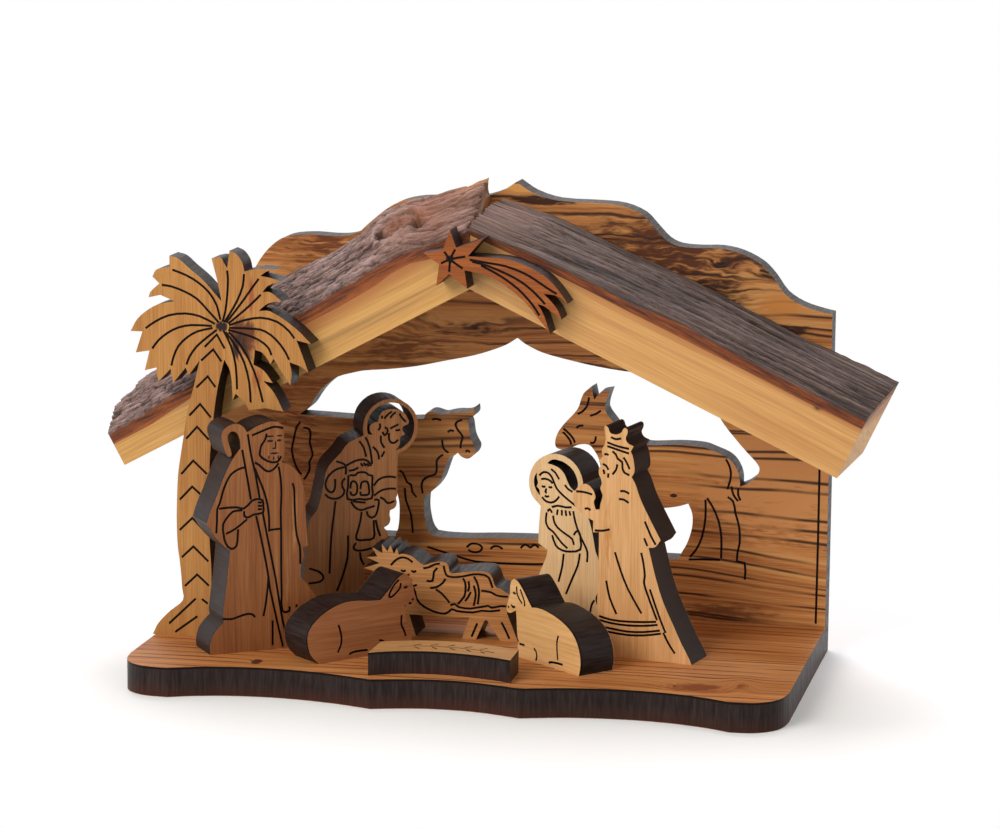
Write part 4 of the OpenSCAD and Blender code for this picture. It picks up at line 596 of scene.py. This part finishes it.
# %% The left bark's relief
def left_relief(s, y):
    """Plates with cracks between them, folds by the ridge, and the stub with its crevice and hollow."""
    shake = noise.noise((s * 0.2, y * 0.3, 2.0))
    gaps = noise.voronoi((s * 0.15 + shake * 0.6, y * 0.34 + shake * 0.5, 5.0))[0]
    cracks = -0.6 * math.exp(-((gaps[1] - gaps[0]) / 0.08) ** 2) * (0.3 + max(0, 0.7 + shake))
    plates = noise.noise((s * 0.12, y * 0.3, 8.0)) * 0.5
    rough = noise.fractal((s * 0.3, y * 0.9, 3.0), 0.7, 2.0, 4) * 0.3
    stub = math.hypot((s - 13.5) / 4.4, (y - 17.5) / 6.2)
    crumbs = noise.fractal((s * 0.9, y * 0.7, 1.0), 0.8, 2.0, 3) * 1.3 * max(0.0, 1.2 - stub)
    crevice = -2.2 * math.exp(-((stub - 1.1) / 0.15) ** 2) * (0.2 + 0.8 * (y < 18))
    fold = 1.1 * math.exp(-((stub - 1.4) / 0.18) ** 2) * (0.5 + 0.5 * (s < 17))
    hollow = -2.8 * math.exp(-((s - 8) / 1.4) ** 2 - ((y - 14) / 2.8) ** 2)
    wave = y + 3 * noise.noise((s * 0.12, y * 0.1, 4.0))
    folds = 1.0 * noise.noise((s * 0.05, wave * 0.38, 9.0)) * max(0.0, 1 - s / 20)
    torn = noise.noise((s * 0.5, y * 1.4, 6.0)) * 0.7 * max(0.0, 1 - s / 6)
    calm = min(1.0, stub / 2)
    return 0.1 + (cracks + plates) * calm + rough + crumbs + crevice + fold + hollow + folds + torn

right_bark = bark_skin("roof_right_bark_skin", "right", right_relief)
left_bark = bark_skin("roof_left_bark_skin", "left", left_relief)

# %% [markdown]
# Weathered bark is dry and matt. Its tops are pale grey with a touch of pink, and its cracks
# brown-black: the colour follows how far the relief moved each point, so the darkness in the cracks
# and hollows is partly the bark's own colour and partly painted shade. The saw's cut shows the inner
# bark, a red-brown band that ends in a jagged edge under the grey. Round the stub and by the ridge the
# grey has come off, and brown fibres show.

# %% Bark's colours
def bark(name, turn, tones, stretch, bare_and_painted_shade, seed):
    """tones run from the cracks to the tops. stretch is the fineness of the mottle along, across and
    through the slab. The list of patches gives each one's (place, size, strength, colour) in the slab's
    own frame, in mm: most are patches of the bark's own colour, and near-black ones are painted shade."""
    made, tree = new_material(name)
    local = millimetres(tree, (RIDGE_X, 0, RIDGE_Z), (0, turn, 0))
    back = add(tree, "SeparateXYZ", {}, local).outputs[1]
    grain = add(tree, "VectorMath", TIMES, local, stretch)
    mottle = add(tree, "TexNoise", IN_4D, grain, seed, 0.9, 4.0, 0.65)
    speck = add(tree, "TexNoise", IN_4D, grain, seed + 5, 3.2, 2.0, 0.7)
    rise = add(tree, "Attribute", {"attribute_name": "rise"}).outputs["Fac"]
    under = add(tree, "Attribute", {"attribute_name": "under"}).outputs["Fac"]
    # Sunken points are darker and raised ones lighter: partly the bark's own colour, partly painted shade in
    # the cracks and hollows.
    tone = add(tree, "Math", TIMES_PLUS, rise, 0.36, add(tree, "Math", TIMES, mottle, 0.7))
    tone = add(tree, "Math", TIMES_PLUS, speck, 0.45, tone)
    crack, body, top = tones
    face = add(tree, "ValToRGB", {"stops": [(0.42, crack), (0.62, body), (0.82, top)]}, tone)
    for at, size, much, code in bare_and_painted_shade:
        mask = add(tree, "Math", TIMES, near(tree, local, at, size), much)
        shade = add(tree, "Mix", {"data_type": "RGBA", "blend_type": "MULTIPLY"}, 0.5, code, face)
        face = add(tree, "Mix", BLEND, mask, face, shade)
    # The cut face: red-brown, darker in streaks, and lighter next to the wood
    thin = add(tree, "VectorMath", TIMES, local, (0.12, 0.6, 1.6))
    layers = add(tree, "TexNoise", {}, thin, 1.0, 3.0, 0.6)
    inner = add(tree, "ValToRGB", {"stops": [(0.35, "3E1C0C"), (0.5, "6E3414"), (0.68, "945021")]}, layers)
    inner = add(tree, "Mix", BLEND, add(tree, "MapRange", SOFT, under, 2.0, 3.4, 0.0, 0.7), inner, "9C5626")
    inner = add(tree, "Mix", BLEND, add(tree, "MapRange", SOFT, back, 0.6, 2.5), inner, "9C7458")
    ragged = add(tree, "Math", TIMES_PLUS, mottle, -1.6, under)
    cut = add(tree, "MapRange", SOFT, ragged, -0.45, 0.0)
    face = add(tree, "Mix", BLEND, cut, face, inner)
    skin = add(tree, "BsdfPrincipled", {}, face, Roughness=0.8, IOR=1.5,
               Normal=add(tree, "Bump", {}, 0.9, 0.0008, Height=tone))
    add(tree, "OutputMaterial", {}, skin)
    return made

dress(right_bark, bark(
    "right_olive_bark", RIGHT_SLOPE, ("2A1C16", "54413A", "78645A"), stretch=(0.06, 1.5, 1.5), seed=3.0,
    bare_and_painted_shade=[((-4, 19, 16), (9, 30, 30), 0.5, "D8B0A0")]))
# On the left bark the last two patches are painted shade: near-black in the stub's hollow and in the crevice
# in front of the stub.
dress(left_bark, bark(
    "left_olive_bark", -LEFT_SLOPE, ("2C1B16", "7A6058", "AA928A"), stretch=(0.35, 1, 1), seed=11.0,
    bare_and_painted_shade=[((-13.5, 17.5, 20), (3.8, 5.4, 12), 0.9, "A06030"), ((-7, 19, 20), (2.6, 5.0, 12), 0.9, "C0783C"),
          ((-4, 22, 20), (13, 30, 30), 0.75, "AC7458"), ((5, 34, 20), (4.5, 9, 30), 0.9, "E0A878"),
          ((-8.4, 14, 20), (1.5, 2.6, 12), 1.0, "160A06"), ((-14, 10.5, 20), (3.6, 1.1, 12), 0.8, "24120C")]))
